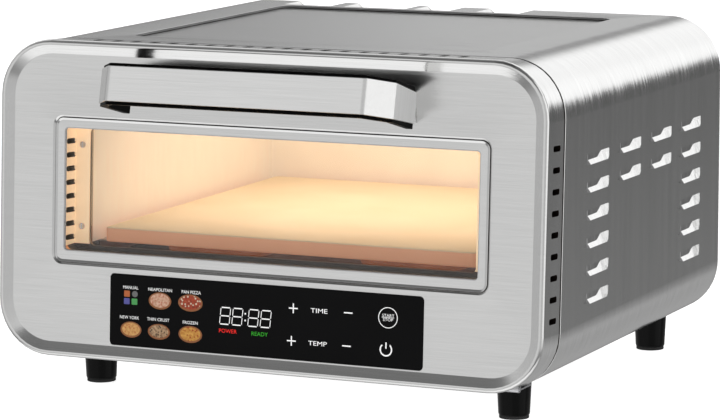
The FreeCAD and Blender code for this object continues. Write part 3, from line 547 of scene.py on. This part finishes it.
def top_sheet(bm, front, i):
    """The top flat with its pressed recess and the notches along its rear edge."""
    j = (i + 1) % len(front)
    # A painted shade line at the recess's lip and at its foot, and a painted shade grey on its
    # wall.
    steps = [(1.0, 0, C_FACE), (0.5, -0.04, C_FACE), (0.2, -0.18, C_FACE), (0.1, -0.4, C_SHADE),
             (0.0, -0.8, C_FOLD), (-0.1, -1.4, C_FOLD), (-0.2, -1.8, C_FOLD),
             (-0.4, -2.1, C_SHADE), (-1.1, -2.2, C_FACE), (-1.6, -2.2, C_FACE)]
    rings = [ring(bm, flat_loop(RECESS, BODY_TOP + dz, by)) for by, dz, _ in steps]
    for a, b, (_, _, mat) in zip(rings, rings[1:], steps[1:]):
        skin(bm, a, b, mat=mat)
    fill(bm, [rings[-1]])
    deep, reach, slope = 9.0, 386.0, 3.0
    path = []
    for x0, x1 in reversed(EXHAUSTS):
        right, left = x1 + slope, x0 - slope
        path += [(right, BODY_REAR), (right, reach), (left, reach), (left, BODY_REAR)]
    start = bm.verts.new(Vector((front[i].co.x / MM, BODY_REAR, BODY_TOP)) * MM)
    end = bm.verts.new(Vector((front[j].co.x / MM, BODY_REAR, BODY_TOP)) * MM)
    upper = ring(bm, [(x, y, BODY_TOP) for x, y in path])
    fill(bm, [[front[j], front[i], start] + upper + [end], rings[0]])
    for k in range(0, len(path), 4):
        far, near = path[k:k + 2], path[k + 2:k + 4]
        mouth = upper[k:k + 4]
        for side, sign, base in ((0, -1, far), (1, 1, near)):
            x = base[0][0] + sign * slope
            ys = [p[1] for p in base]
            bevel = ring(bm, [(x, y, BODY_TOP - slope) for y in ys])
            floor = ring(bm, [(x, y, BODY_TOP - deep) for y in ys])
            edge = mouth[2 * side:2 * side + 2]
            bm.faces.new((edge[0], edge[1], bevel[1], bevel[0]))
            bm.faces.new((bevel[0], bevel[1], floor[1], floor[0]))
            if side == 0:
                right_side = (bevel[1], floor[1])
            else:
                left_side = (bevel[0], floor[0])
        bm.faces.new((mouth[1], mouth[2], left_side[0], left_side[1], right_side[1], right_side[0]))
        bm.faces.new(ring(bm, [(x, y, BODY_TOP - deep) for x, y in far + near]))


def smooth_step(x):
    x = min(1.0, max(0.0, x))
    return x * x * (3 - 2 * x)


def hood_height(s, t):
    """Outward bulge of a louvre: s runs front to rear and t from its top line down.
    A steep lower lip widens to the whole height towards the rear."""
    crease = LIP_START * (1 - smooth_step((s - LIP_REACH) / LIP_FADE))
    if t < crease:
        fall = FLAT_RISE * t
    else:
        above = FLAT_RISE * crease
        fall = above + (1 - above) * (t - crease) / (1 - crease)
    ends = smooth_step(s / FRONT_END) * smooth_step((1 - 0.15 * t * t - s) / 0.04)
    return LOUVRE_OUT * (0.84 + 0.16 * s) * ends * fall


def louvres():
    for side, name in ((1, "louvres_right"), (-1, "louvres_left")):
        bm = bmesh.new()
        for y, z in LOUVRES:
            n_long, n_high = 66, 16
            for inset in (0.0, LOUVRE_SHEET):
                grid = []
                for a in range(n_high + 1):
                    t = a / n_high
                    row = []
                    for b in range(n_long + 1):
                        s = b / n_long
                        x = side * (HALF + max(0.0, hood_height(s, t) - inset))
                        place = Vector((x, y + s * LOUVRE_L, z - t * LOUVRE_H)) * MM
                        row.append(bm.verts.new(place))
                    grid.append(row)
                for r0, r1 in zip(grid, grid[1:]):
                    for b in range(n_long):
                        # The louvre's front end takes the painted shade grey; its inner sheet under
                        # the hood is painted shade.
                        outside = C_FOLD if b / n_long < FRONT_END else C_FACE
                        made = bm.faces.new((r0[b], r0[b + 1], r1[b + 1], r1[b]))
                        made.material_index = C_SHADE if inset else outside
                if inset:
                    for b in range(n_long):
                        lower = grid[-1]
                        bm.faces.new((outer_row[b], outer_row[b + 1], lower[b + 1], lower[b]))
                else:
                    outer_row = grid[-1]
        make(name, bm, BODY, "housing", COVER_MATS, sharp=40)


# ---- Control panel ----------------------------------------------------------------------
def control_glass():
    bm = bmesh.new()
    rings = [ring(bm, at_depth(grown(PANEL, by), y)) for by, y in
             ((-0.3, FLAT_Y + 3.0), (-0.3, FLAT_Y + 0.45), (-0.42, FLAT_Y + 0.2),
              (-0.7, FLAT_Y + 0.1), (-1.2, FLAT_Y + 0.1))]
    for a, b in zip(rings, rings[1:]):
        skin(bm, a, b)
    fill(bm, [rings[-1]])
    fill(bm, [rings[0]])
    g = Graph("panel_glass", Specular_IOR_Level=0.06)
    g.drive("Base Color",
            g.tint(g.noise((8, 8, 8)), (0.0030, 0.0030, 0.0032), (0.0042, 0.0042, 0.0045)))
    g.drive("Roughness", g.span(g.noise((25, 25, 25), 4.0), 0.08, 0.14))
    pane = make("control_pane", bm, FRONT, "door", [g.mat])
    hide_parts("control_glass")


INK_Y = FLAT_Y + 0.04


def flat_shape(bm, outlines, mat):
    """A printed area on the control glass: an outer outline and any holes, in (x, z)."""
    fill(bm, [ring(bm, [(x, INK_Y, z) for x, z in points]) for points in outlines], mat)


def disc(cx, cz, rx, rz, n=40):
    turns = [2 * math.pi * k / n for k in range(n)]
    return [(cx + rx * math.cos(a), cz + rz * math.sin(a)) for a in turns]


def bar(cx, cz, w, h):
    left, right, low, high = cx - w / 2, cx + w / 2, cz - h / 2, cz + h / 2
    return [(left, low), (right, low), (right, high), (left, high)]


def words(bm, text, cx, cz, width, height, mat):
    """Sets a short word in the plain built-in face, stretched to its place on the glass."""
    curve = bpy.data.curves.new("word", "FONT")
    curve.body = text
    curve.resolution_u = 3
    obj = bpy.data.objects.new("word", curve)
    bpy.context.scene.collection.objects.link(obj)
    bpy.context.view_layer.update()
    mesh = bpy.data.meshes.new_from_object(obj)
    xs = [v.co.x for v in mesh.vertices]
    ys = [v.co.y for v in mesh.vertices]
    fx, fy = width / (max(xs) - min(xs)), height / (max(ys) - min(ys))
    for v in mesh.vertices:
        v.co = Vector((cx + (v.co.x - (max(xs) + min(xs)) / 2) * fx, INK_Y,
                       cz + (v.co.y - (max(ys) + min(ys)) / 2) * fy)) * MM
    before = len(bm.faces)
    bm.from_mesh(mesh)
    bm.faces.ensure_lookup_table()
    for f in bm.faces[before:]:
        f.material_index = mat
    bpy.data.objects.remove(obj)
    bpy.data.curves.remove(curve)
    bpy.data.meshes.remove(mesh)


def digit(bm, x, z, w, h, mat):
    """A lit figure eight of seven bars, leaning slightly."""
    t = 0.9
    for cx, cz, bw, bh in ((0, h / 2, w - t, t), (0, 0, w - t, t), (0, -h / 2, w - t, t),
                           (-w / 2, h / 4, t, h / 2 - t), (w / 2, h / 4, t, h / 2 - t),
                           (-w / 2, -h / 4, t, h / 2 - t), (w / 2, -h / 4, t, h / 2 - t)):
        segment = bar(cx, cz, bw - 0.3, bh - 0.3 if bh > t else bh)
        flat_shape(bm, [[(x + px + 0.09 * pz, z + pz) for px, pz in segment]], mat)


def face_front(obj):
    """Turns every printed face towards the front of the oven."""
    for p in obj.data.polygons:
        if p.normal.y > 0:
            p.flip()


def control_print():
    white = printed("ink_white", (0.85, 0.85, 0.85), 0.35)
    red = printed("ink_red", (0.75, 0.02, 0.015), 0.5)
    green = printed("ink_green", (0.03, 0.35, 0.02), 0.35)
    bm = bmesh.new()
    for text, cx, cz, w in (("MANUAL", -119.5, 94.7, 13.8), ("NEAPOLITAN", -92.8, 94.6, 21.4),
                            ("PAN PIZZA", -64.7, 94.6, 17.2), ("NEW YORK", -120.3, 70.3, 17.4),
                            ("THIN CRUST", -94.2, 70.4, 20.2), ("FROZEN", -65.2, 70.0, 13.4)):
        words(bm, text, cx, cz, w, 2.5, 0)
    words(bm, "TIME", 48.5, 87.7, 14.6, 3.5, 0)
    words(bm, "TEMP", 47.7, 61.6, 16.2, 3.5, 0)
    words(bm, "START", 108.2, 88.3, 10.4, 2.3, 0)
    words(bm, "STOP", 108.1, 85.0, 8.6, 2.3, 0)
    words(bm, "POWER", -31.4, 65.7, 15.8, 3.2, 1)
    words(bm, "READY", -3.2, 65.4, 14.4, 3.2, 2)
    for cx, cz in ((26.0, 88.2), (24.8, 62.1)):
        flat_shape(bm, [bar(cx, cz, 7.8, 1.0)], 0)
        flat_shape(bm, [bar(cx, cz + 2.25, 1.0, 3.3)], 0)
        flat_shape(bm, [bar(cx, cz - 2.25, 1.0, 3.3)], 0)
    for cx, cz in ((73.8, 88.0), (72.8, 61.6)):
        flat_shape(bm, [bar(cx, cz, 7.4, 1.0)], 0)
    for x in (-34.1, -23.2, -9.0, 1.9):
        digit(bm, x, 77.8, 8.6, 13.4, 0)
    for cz in (80.8, 75.4):
        flat_shape(bm, [bar(-16.2, cz, 1.3, 1.3)], 0)
    flat_shape(bm, [disc(108.0, 86.6, 8.3, 8.3, 64), disc(108.0, 86.6, 7.7, 7.7, 64)], 0)
    flat_shape(bm, [bar(108.1, 86.7, 10.6, 0.35)], 0)
    flat_shape(bm, [power_arc(106.8, 61.3, 5.4, 4.3)], 0)
    flat_shape(bm, [bar(106.8, 64.6, 1.05, 5.0)], 0)
    ink = make("control_print", bm, FRONT, "door", [white, red, green], recalc=False)
    face_front(ink)


def power_arc(cx, cz, outer, inner):
    """A ring open at its top."""
    def along(r, sign):
        return [(cx + r * math.sin(a), cz + r * math.cos(a))
                for a in (math.radians(180 + sign * k) for k in range(-142, 143, 12))]
    return along(outer, 1) + along(inner, -1)


def icon_material(name, crust, topping, spots):
    """A small baked disc: mottled topping with spots."""
    g = Graph(name, Roughness=0.5, Specular_IOR_Level=0.2)
    cells = g.node("ShaderNodeTexVoronoi",
                   {"Vector": g.coords((420, 420, 420)), "Scale": 1.0}).outputs[0]
    base = g.tint(g.noise((500, 500, 500), 3.0), crust, topping)
    mixed = g.node("ShaderNodeMix", {0: g.span(cells, 1, 0, 0.25, 0.4), 6: base, 7: (*spots, 1)},
                   data_type="RGBA")
    g.drive("Base Color", mixed.outputs[2])
    g.shader.inputs["Emission Strength"].default_value = 0.15
    g.drive("Emission Color", mixed.outputs[2])
    return g.mat


def preset_icons():
    crust = printed("icon_crust", (0.26, 0.10, 0.04), 0.1)
    kinds = [icon_material("icon_neapolitan", (0.36, 0.17, 0.09), (0.62, 0.42, 0.32),
                           (0.42, 0.16, 0.10)),
             icon_material("icon_pan", (0.16, 0.02, 0.012), (0.40, 0.07, 0.03), (0.55, 0.5, 0.38)),
             icon_material("icon_new_york", (0.42, 0.19, 0.06), (0.60, 0.36, 0.13),
                           (0.42, 0.14, 0.05)),
             icon_material("icon_thin_crust", (0.16, 0.09, 0.05), (0.50, 0.34, 0.2),
                           (0.08, 0.05, 0.03)),
             icon_material("icon_frozen", (0.36, 0.13, 0.02), (0.58, 0.33, 0.08),
                           (0.30, 0.05, 0.015))]
    squares = [printed("key_orange", (0.42, 0.12, 0.04), 0.15),
               printed("key_grey", (0.14, 0.14, 0.14), 0.15),
               printed("key_blue", (0.09, 0.09, 0.30), 0.15),
               printed("key_green", (0.07, 0.30, 0.09), 0.15)]
    bm = bmesh.new()
    for k, (cx, cz, w, h) in enumerate(((-92.8, 85.6, 20.4, 13.8), (-65.4, 85.9, 22.0, 13.8),
                                        (-118.8, 60.5, 19.0, 13.0), (-93.4, 60.5, 20.0, 12.6),
                                        (-65.0, 60.5, 21.2, 13.7))):
        rim, inner = disc(cx, cz, w / 2, h / 2), disc(cx, cz + 0.3, w / 2 - 1.4, h / 2 - 1.2)
        flat_shape(bm, [rim, inner], 0)
        flat_shape(bm, [inner], k + 1)
    for k, (cx, cz) in enumerate(((-122.9, 89.5), (-115.7, 89.6), (-123.0, 83.4), (-116.0, 83.4))):
        if k == 1:
            points = disc(cx, cz, 2.6, 2.5)
        else:
            points = [(cx + p.x, cz + p.y)
                      for p in outline(2.6, -2.5, 2.5, 0.6, steps=3, hold=0.05)]
        flat_shape(bm, [points], k + 6)
    icons = make("preset_icons", bm, FRONT, "door", [crust] + kinds + squares,
                 recalc=False)
    face_front(icons)


# ---- Feet -------------------------------------------------------------------------------
def lathe(bm, cx, cy, profile, segments=48):
    rings = []
    for r, z in profile:
        rings.append(ring(bm, [(x, y, z) for x, y in disc(cx, cy, r, r, segments)]))
    for a, b in zip(rings, rings[1:]):
        skin(bm, a, b)
    bm.faces.new(rings[0])
    bm.faces.new(rings[-1])


def feet():
    profile = [(11.2, 2.5), (12.0, 2.6), (12.45, 2.95), (12.68, 3.6), (12.75, 4.5), (13.2, 14.0),
               (13.75, 26.0), (13.95, 30.8), (13.8, 31.5), (13.3, 32.0), (12.5, 32.1)]
    for node in ("front_left_foot", "front_right_foot", "rear_left_foot", "rear_right_foot"):
        low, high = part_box(node)
        centre = (low + high) / 2 / MM
        bm = bmesh.new()
        lathe(bm, centre.x, centre.y, profile)
        foot = make("shown_" + node, bm, Matrix.Identity(4), "housing", [BLACK_GLOSS],
                    sharp=50)
        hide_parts(node)


# ---- Finishes of the CAD nodes that stay ------------------------------------------------
STONE_LOW = 122.5   # painted shade darkens the cavity walls below the stone
SILL_Z = 122.9      # painted shade darkens the window channel below this height
LIT_EDGE = 5.0      # depth of the sill's painted lit front edge


def below(g, level, soft=0.3):
    """1 below a height in mm and 0 above it."""
    height = g.node("ShaderNodeSeparateXYZ", {0: g.coords((1, 1, 1))}).outputs[2]
    return g.span(height, 1, 0, level * MM, (level + soft) * MM)


def glowing(g, factor, wall, shade):
    """Wall colour as base and emission colour, a painted glow, with painted shade where the factor
    is 1.
    """
    colour = g.node("ShaderNodeMix", {0: factor, 6: wall, 7: shade}, data_type="RGBA").outputs[2]
    g.drive("Base Color", colour)
    g.drive("Emission Color", colour)


def painted_glow_wall(name, colour, glow):
    """Cavity steel with a painted warm colour and glow down to the stone, and painted shade below
    it.
    """
    g = Graph(name, Metallic=0.15, Emission_Strength=glow)
    g.drive("Roughness", g.span(g.noise((40, 40, 40), 3.0), 0.35, 0.5))
    wall = g.tint(g.noise((30, 300, 30), 3.0), [c * 0.95 for c in colour], colour)
    glowing(g, below(g, STONE_LOW), wall, (0.07, 0.06, 0.05, 1))
    g.bump(g.noise((200, 30, 200), 2.0), 0.05, 0.0002)
    return g.mat


def channel_wall():
    """Window channel: its walls get a painted warm colour and glow; its sill and upward faces get
    painted shade behind a painted lit front edge.
    """
    g = Graph("channel_steel", Metallic=0.15, Emission_Strength=0.35)
    g.drive("Roughness", g.span(g.noise((40, 40, 40), 3.0), 0.35, 0.5))
    facing = g.node("ShaderNodeTexCoord").outputs["Normal"]
    up = g.span(g.node("ShaderNodeSeparateXYZ", {0: facing}).outputs[2], 0, 1, 0.3, 0.6)
    low = g.node("ShaderNodeMath", {0: up, 1: below(g, SILL_Z)}, operation="MAXIMUM").outputs[0]
    depth = g.node("ShaderNodeSeparateXYZ", {0: g.coords((1, 1, 1))}).outputs[1]
    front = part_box("window_channel")[0].y
    behind = g.span(depth, 0, 1, front + LIT_EDGE * MM, front + (LIT_EDGE + 0.5) * MM)
    # A painted lit front edge, then painted shade behind it.
    shade = g.node("ShaderNodeMix",
                   {0: behind, 6: (0.62, 0.27, 0.12, 1), 7: (0.05, 0.045, 0.04, 1)},
                   data_type="RGBA").outputs[2]
    glowing(g, low, g.tint(g.noise((30, 300, 30), 3.0), (0.88, 0.66, 0.43), (0.93, 0.70, 0.46)),
            shade)
    return g.mat


# The stone's sides are painted a more orange lit colour than its top and get a painted warm glow.
def stone():
    g = Graph("stone_grain_and_painted_glow", Roughness=0.9, Emission_Strength=0.5)
    grain = g.noise((900, 900, 900), 4.0, 0.7)
    patchy = g.noise((14, 14, 14), 3.0)
    mixed = g.node("ShaderNodeMix", {0: 0.3, 2: patchy, 3: grain}).outputs[0]
    facing = g.node("ShaderNodeTexCoord").outputs["Normal"]
    up = g.span(g.node("ShaderNodeSeparateXYZ", {0: facing}).outputs[2], 0, 1, 0.3, 0.6)
    top = g.tint(mixed, (0.84, 0.70, 0.48), (0.92, 0.80, 0.58))
    side = g.tint(mixed, (0.84, 0.46, 0.26), (0.95, 0.56, 0.34))
    g.drive("Base Color",
            g.node("ShaderNodeMix", {0: up, 6: side, 7: top}, data_type="RGBA").outputs[2])
    lit = g.node("ShaderNodeMix", {0: up, 6: (0.36, 0.13, 0.06, 1), 7: (0, 0, 0, 1)},
                 data_type="RGBA").outputs[2]
    g.drive("Emission Color", lit)
    g.bump(grain, 0.25, 0.0004)
    return g.mat


def heater_sheath():
    g = Graph("heater_sheath", Metallic=0.8, Emission_Strength=0.12,
              Emission_Color=(1.0, 0.25, 0.05, 1))
    g.drive("Roughness", g.span(g.noise((90, 90, 90), 3.0), 0.45, 0.7))
    g.drive("Base Color", g.tint(g.noise((60, 60, 60), 3.0), (0.14, 0.09, 0.07), (0.28, 0.2, 0.15)))
    return g.mat


def board():
    g = Graph("green_board", Roughness=0.4)
    cells = g.node("ShaderNodeTexBrick", {"Vector": g.coords((220, 220, 220)), "Scale": 1.0,
                                          "Color1": (0.01, 0.09, 0.03, 1),
                                          "Color2": (0.012, 0.13, 0.04, 1),
                                          "Mortar": (0.05, 0.22, 0.08, 1)}).outputs[0]
    g.drive("Base Color", cells)
    return g.mat


FINISHES = {
    "brushed_stainless": lambda: STEEL_FRONT,
    "aluminised_steel": lambda: INSIDE_STEEL,
    "zinc_plated_steel": lambda: plain_steel("zinc", (0.68, 0.68, 0.7), (0.22, 0.34)),
    "heater_sheath": heater_sheath,
    "cordierite_stone": stone,
    "fibre_blanket": lambda: fabric("fibre", (0.8, 0.78, 0.72)),
    "woven_fibre_seal": lambda: fabric("seal_weave", (0.05, 0.05, 0.05)),
    "white_ceramic": lambda: plastic("ceramic", (0.82, 0.8, 0.74), (0.5, 0.7)),
    "clear_glass": lambda: glass("clear_glass", 1.22),
    "lamp_glass": lambda: plastic("lamp", (1.0, 0.8, 0.5), (0.2, 0.3), Emission_Strength=6.0,
                                  Emission_Color=(1.0, 0.72, 0.4, 1)),
    "black_glass": lambda: BLACK_GLOSS,
    "black_gloss_plastic": lambda: BLACK_GLOSS,
    "black_matte_plastic": lambda: plastic("black_matte", (0.02, 0.02, 0.02), (0.55, 0.75),
                                           500, 0.2),
    "black_rubber": lambda: plastic("rubber", (0.012, 0.012, 0.012), (0.8, 0.95), 500, 0.2),
    "green_laminate": board,
    "display_white": lambda: plastic("display", (0.7, 0.7, 0.7), (0.4, 0.5)),
    "motor_steel": lambda: plain_steel("motor_steel", (0.4, 0.4, 0.42)),
}


def finish_nodes():
    # The cavity liner and the window channel get painted warm light and painted shade.
    special = {"cavity_liner": painted_glow_wall("cavity_steel", (0.93, 0.85, 0.72), 0.13),
               "window_channel": channel_wall()}
    made = {}
    for part in frame["record"]["subparts"]:
        slot = part["material_slot"]
        if slot not in made:
            made[slot] = FINISHES[slot]()
        mat = special.get(part["node"], made[slot])
        obj = NODES[part["node"]]
        for s in obj.material_slots:
            s.material = mat


# ---- Studio -----------------------------------------------------------------------------
def area(name, place, target, size, power, colour):
    data = bpy.data.lights.new(name, "AREA")
    data.shape, data.size, data.size_y = "RECTANGLE", size[0], size[1]
    data.energy, data.color = power, colour
    obj = bpy.data.objects.new(name, data)
    bpy.context.scene.collection.objects.link(obj)
    obj.location = place
    obj.rotation_euler = (Vector(target) - Vector(place)).to_track_quat("-Z", "Y").to_euler()
    return obj


def studio_world():
    """Soft studio surroundings: brightness by elevation, in front, behind and to each side."""
    world = bpy.data.worlds.new("studio")
    bpy.context.scene.world = world
    world.use_nodes = True
    tree = world.node_tree
    new, link = tree.nodes.new, tree.links.new

    def maths(kind, *values):
        made = new("ShaderNodeMath")
        made.operation = kind
        for k, v in enumerate(values):
            if isinstance(v, (int, float)):
                made.inputs[k].default_value = v
            else:
                link(v, made.inputs[k])
        return made.outputs[0]

    split = new("ShaderNodeSeparateXYZ")
    link(new("ShaderNodeTexCoord").outputs["Generated"], split.inputs[0])
    x, y, z = split.outputs
    elevation = maths("MULTIPLY", maths("ARCSINE", z), 180 / math.pi)
    azimuth = maths("MULTIPLY", maths("ARCTAN2", x, y), 180 / math.pi)

    def smooth(value, low, high, to_low=0.0, to_high=1.0):
        made = new("ShaderNodeMapRange")
        made.interpolation_type = "SMOOTHSTEP"
        link(value, made.inputs["Value"])
        for key, v in (("From Min", low), ("From Max", high), ("To Min", to_low),
                       ("To Max", to_high)):
            made.inputs[key].default_value = v
        return made.outputs[0]

    def ladder(stops):
        """Brightness against elevation, joined smoothly between stops."""
        made = new("ShaderNodeValToRGB")
        made.color_ramp.interpolation = "EASE"
        link(maths("MULTIPLY_ADD", elevation, 1 / 180, 0.5), made.inputs[0])
        points = made.color_ramp.elements
        while len(points) < len(stops):
            points.new(0.5)
        for point, (degrees, level) in zip(points, stops):
            point.position = degrees / 180 + 0.5
            point.color = (level / 2,) * 3 + (1,)
        return maths("MULTIPLY", made.outputs[0], 2.0)

    def mix(factor, a, b):
        return maths("ADD", a, maths("MULTIPLY", factor, maths("SUBTRACT", b, a)))

    rear_right = ladder(((-90, 0.5), (-30, 0.36), (-18, 0.46), (-10, 0.2), (-5, 0.12), (2, 0.12),
                         (7, 1.3), (60, 1.3), (75, 0.15), (90, 0.04)))
    far_left = ladder(((-90, 0.5), (-30, 0.4), (-12, 0.55), (-3, 0.5), (3, 0.24), (6, 0.32),
                       (12, 0.5), (20, 1.0), (45, 1.0), (60, 0.3), (90, 0.15)))
    rear_left = ladder(((-90, 0.5), (-30, 0.4), (-10, 0.3), (0, 0.4), (6, 0.6), (10, 0.34),
                        (14, 0.32), (20, 0.75), (27, 1.2), (45, 1.2), (60, 0.3), (90, 0.15)))
    behind = ladder(((-90, 0.5), (-30, 0.4), (-14, 0.4), (-8, 0.9), (20, 1.2), (60, 1.2),
                     (75, 0.15), (90, 0.04)))
    gap = ladder(((-90, 0.5), (-30, 0.36), (-18, 0.4), (-10, 0.2), (30, 0.15), (42, 0.9), (60, 1.0),
                  (75, 0.3), (90, 0.15)))
    front = ladder(((-90, 1.15), (-40, 1.15), (-34, 0.6), (-26, 0.6), (-14, 0.75), (0, 0.8),
                    (24, 0.88), (33, 0.22), (48, 0.17), (60, 0.06), (90, 0.04)))
    front_right = ladder(((-90, 1.15), (-40, 1.15), (-34, 0.25), (-26, 0.25), (-14, 0.6),
                          (24, 0.66), (33, 0.22), (52, 0.15), (90, 0.15)))
    right = ladder(((-90, 0.9), (-40, 0.9), (-30, 0.3), (-12, 0.9), (-4, 1.2), (45, 1.2), (60, 0.3),
                    (90, 0.15)))
    left = ladder(((-90, 0.9), (-42, 0.9), (-32, 0.25), (-16, 0.55), (20, 0.6), (40, 0.3),
                   (90, 0.15)))
    level = mix(smooth(azimuth, -28, -22), far_left, rear_left)
    level = mix(smooth(azimuth, -16, -6), level, behind)
    level = mix(smooth(azimuth, 10, 16), level, rear_right)
    level = mix(smooth(azimuth, 50, 58), level, gap)
    level = mix(smooth(azimuth, 68, 78), level, right)
    level = mix(smooth(azimuth, 112, 130), level, front_right)
    level = mix(smooth(azimuth, 165, 178), level, front)
    level = mix(smooth(azimuth, -70, -85), level, left)
    level = mix(smooth(azimuth, -115, -140), level, front)
    background = tree.nodes["Background"]
    link(level, background.inputs["Color"])
    background.inputs["Strength"].default_value = 1.0


def studio():
    scene = bpy.context.scene
    scene.view_settings.view_transform = "Standard"
    studio_world()
    bpy.ops.mesh.primitive_plane_add(size=FLOOR_SIZE, location=(0, 0, -FLOOR_DROP))
    floor = bpy.context.active_object
    floor.name = "floor"
    g = Graph("floor_white", Roughness=0.9, Emission_Strength=0.85, Emission_Color=(1, 1, 1, 1))
    g.shader.inputs["Base Color"].default_value = (0.85, 0.85, 0.85, 1)
    floor.data.materials.append(g.mat)
    floor.visible_glossy = False
    liner_low, liner_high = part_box("cavity_liner")
    glow = area("cavity_glow", (0, (liner_low.y + liner_high.y) / 2, liner_high.z - 0.004),
                (0, 0.03, 0.1), (0.30, 0.26), 0.30, (1.0, 0.87, 0.78))
    glow.visible_camera = False
    glow.visible_glossy = False
    cam = bpy.data.cameras.new("camera")
    cam.lens, cam.sensor_width = CAMERA_LENS, CAMERA_SENSOR
    cam.clip_start, cam.clip_end = 0.1, 100
    view = bpy.data.objects.new("camera", cam)
    scene.collection.objects.link(view)
    yaw, pitch, roll = CAMERA_TURN
    x, y, z = CAMERA_PLACE
    view.location = (x, y + SHIFT * MM, z)
    aim = Matrix.Rotation(yaw, 4, "Z") @ Matrix.Rotation(math.pi / 2 - pitch, 4, "X")
    view.matrix_world = Matrix.Translation(view.location) @ aim @ Matrix.Rotation(-roll, 4, "Z")
    scene.camera = view


finish_nodes()
door_shell()
handle()
wrap()
louvres()
control_glass()
control_print()
preset_icons()
feet()
studio()
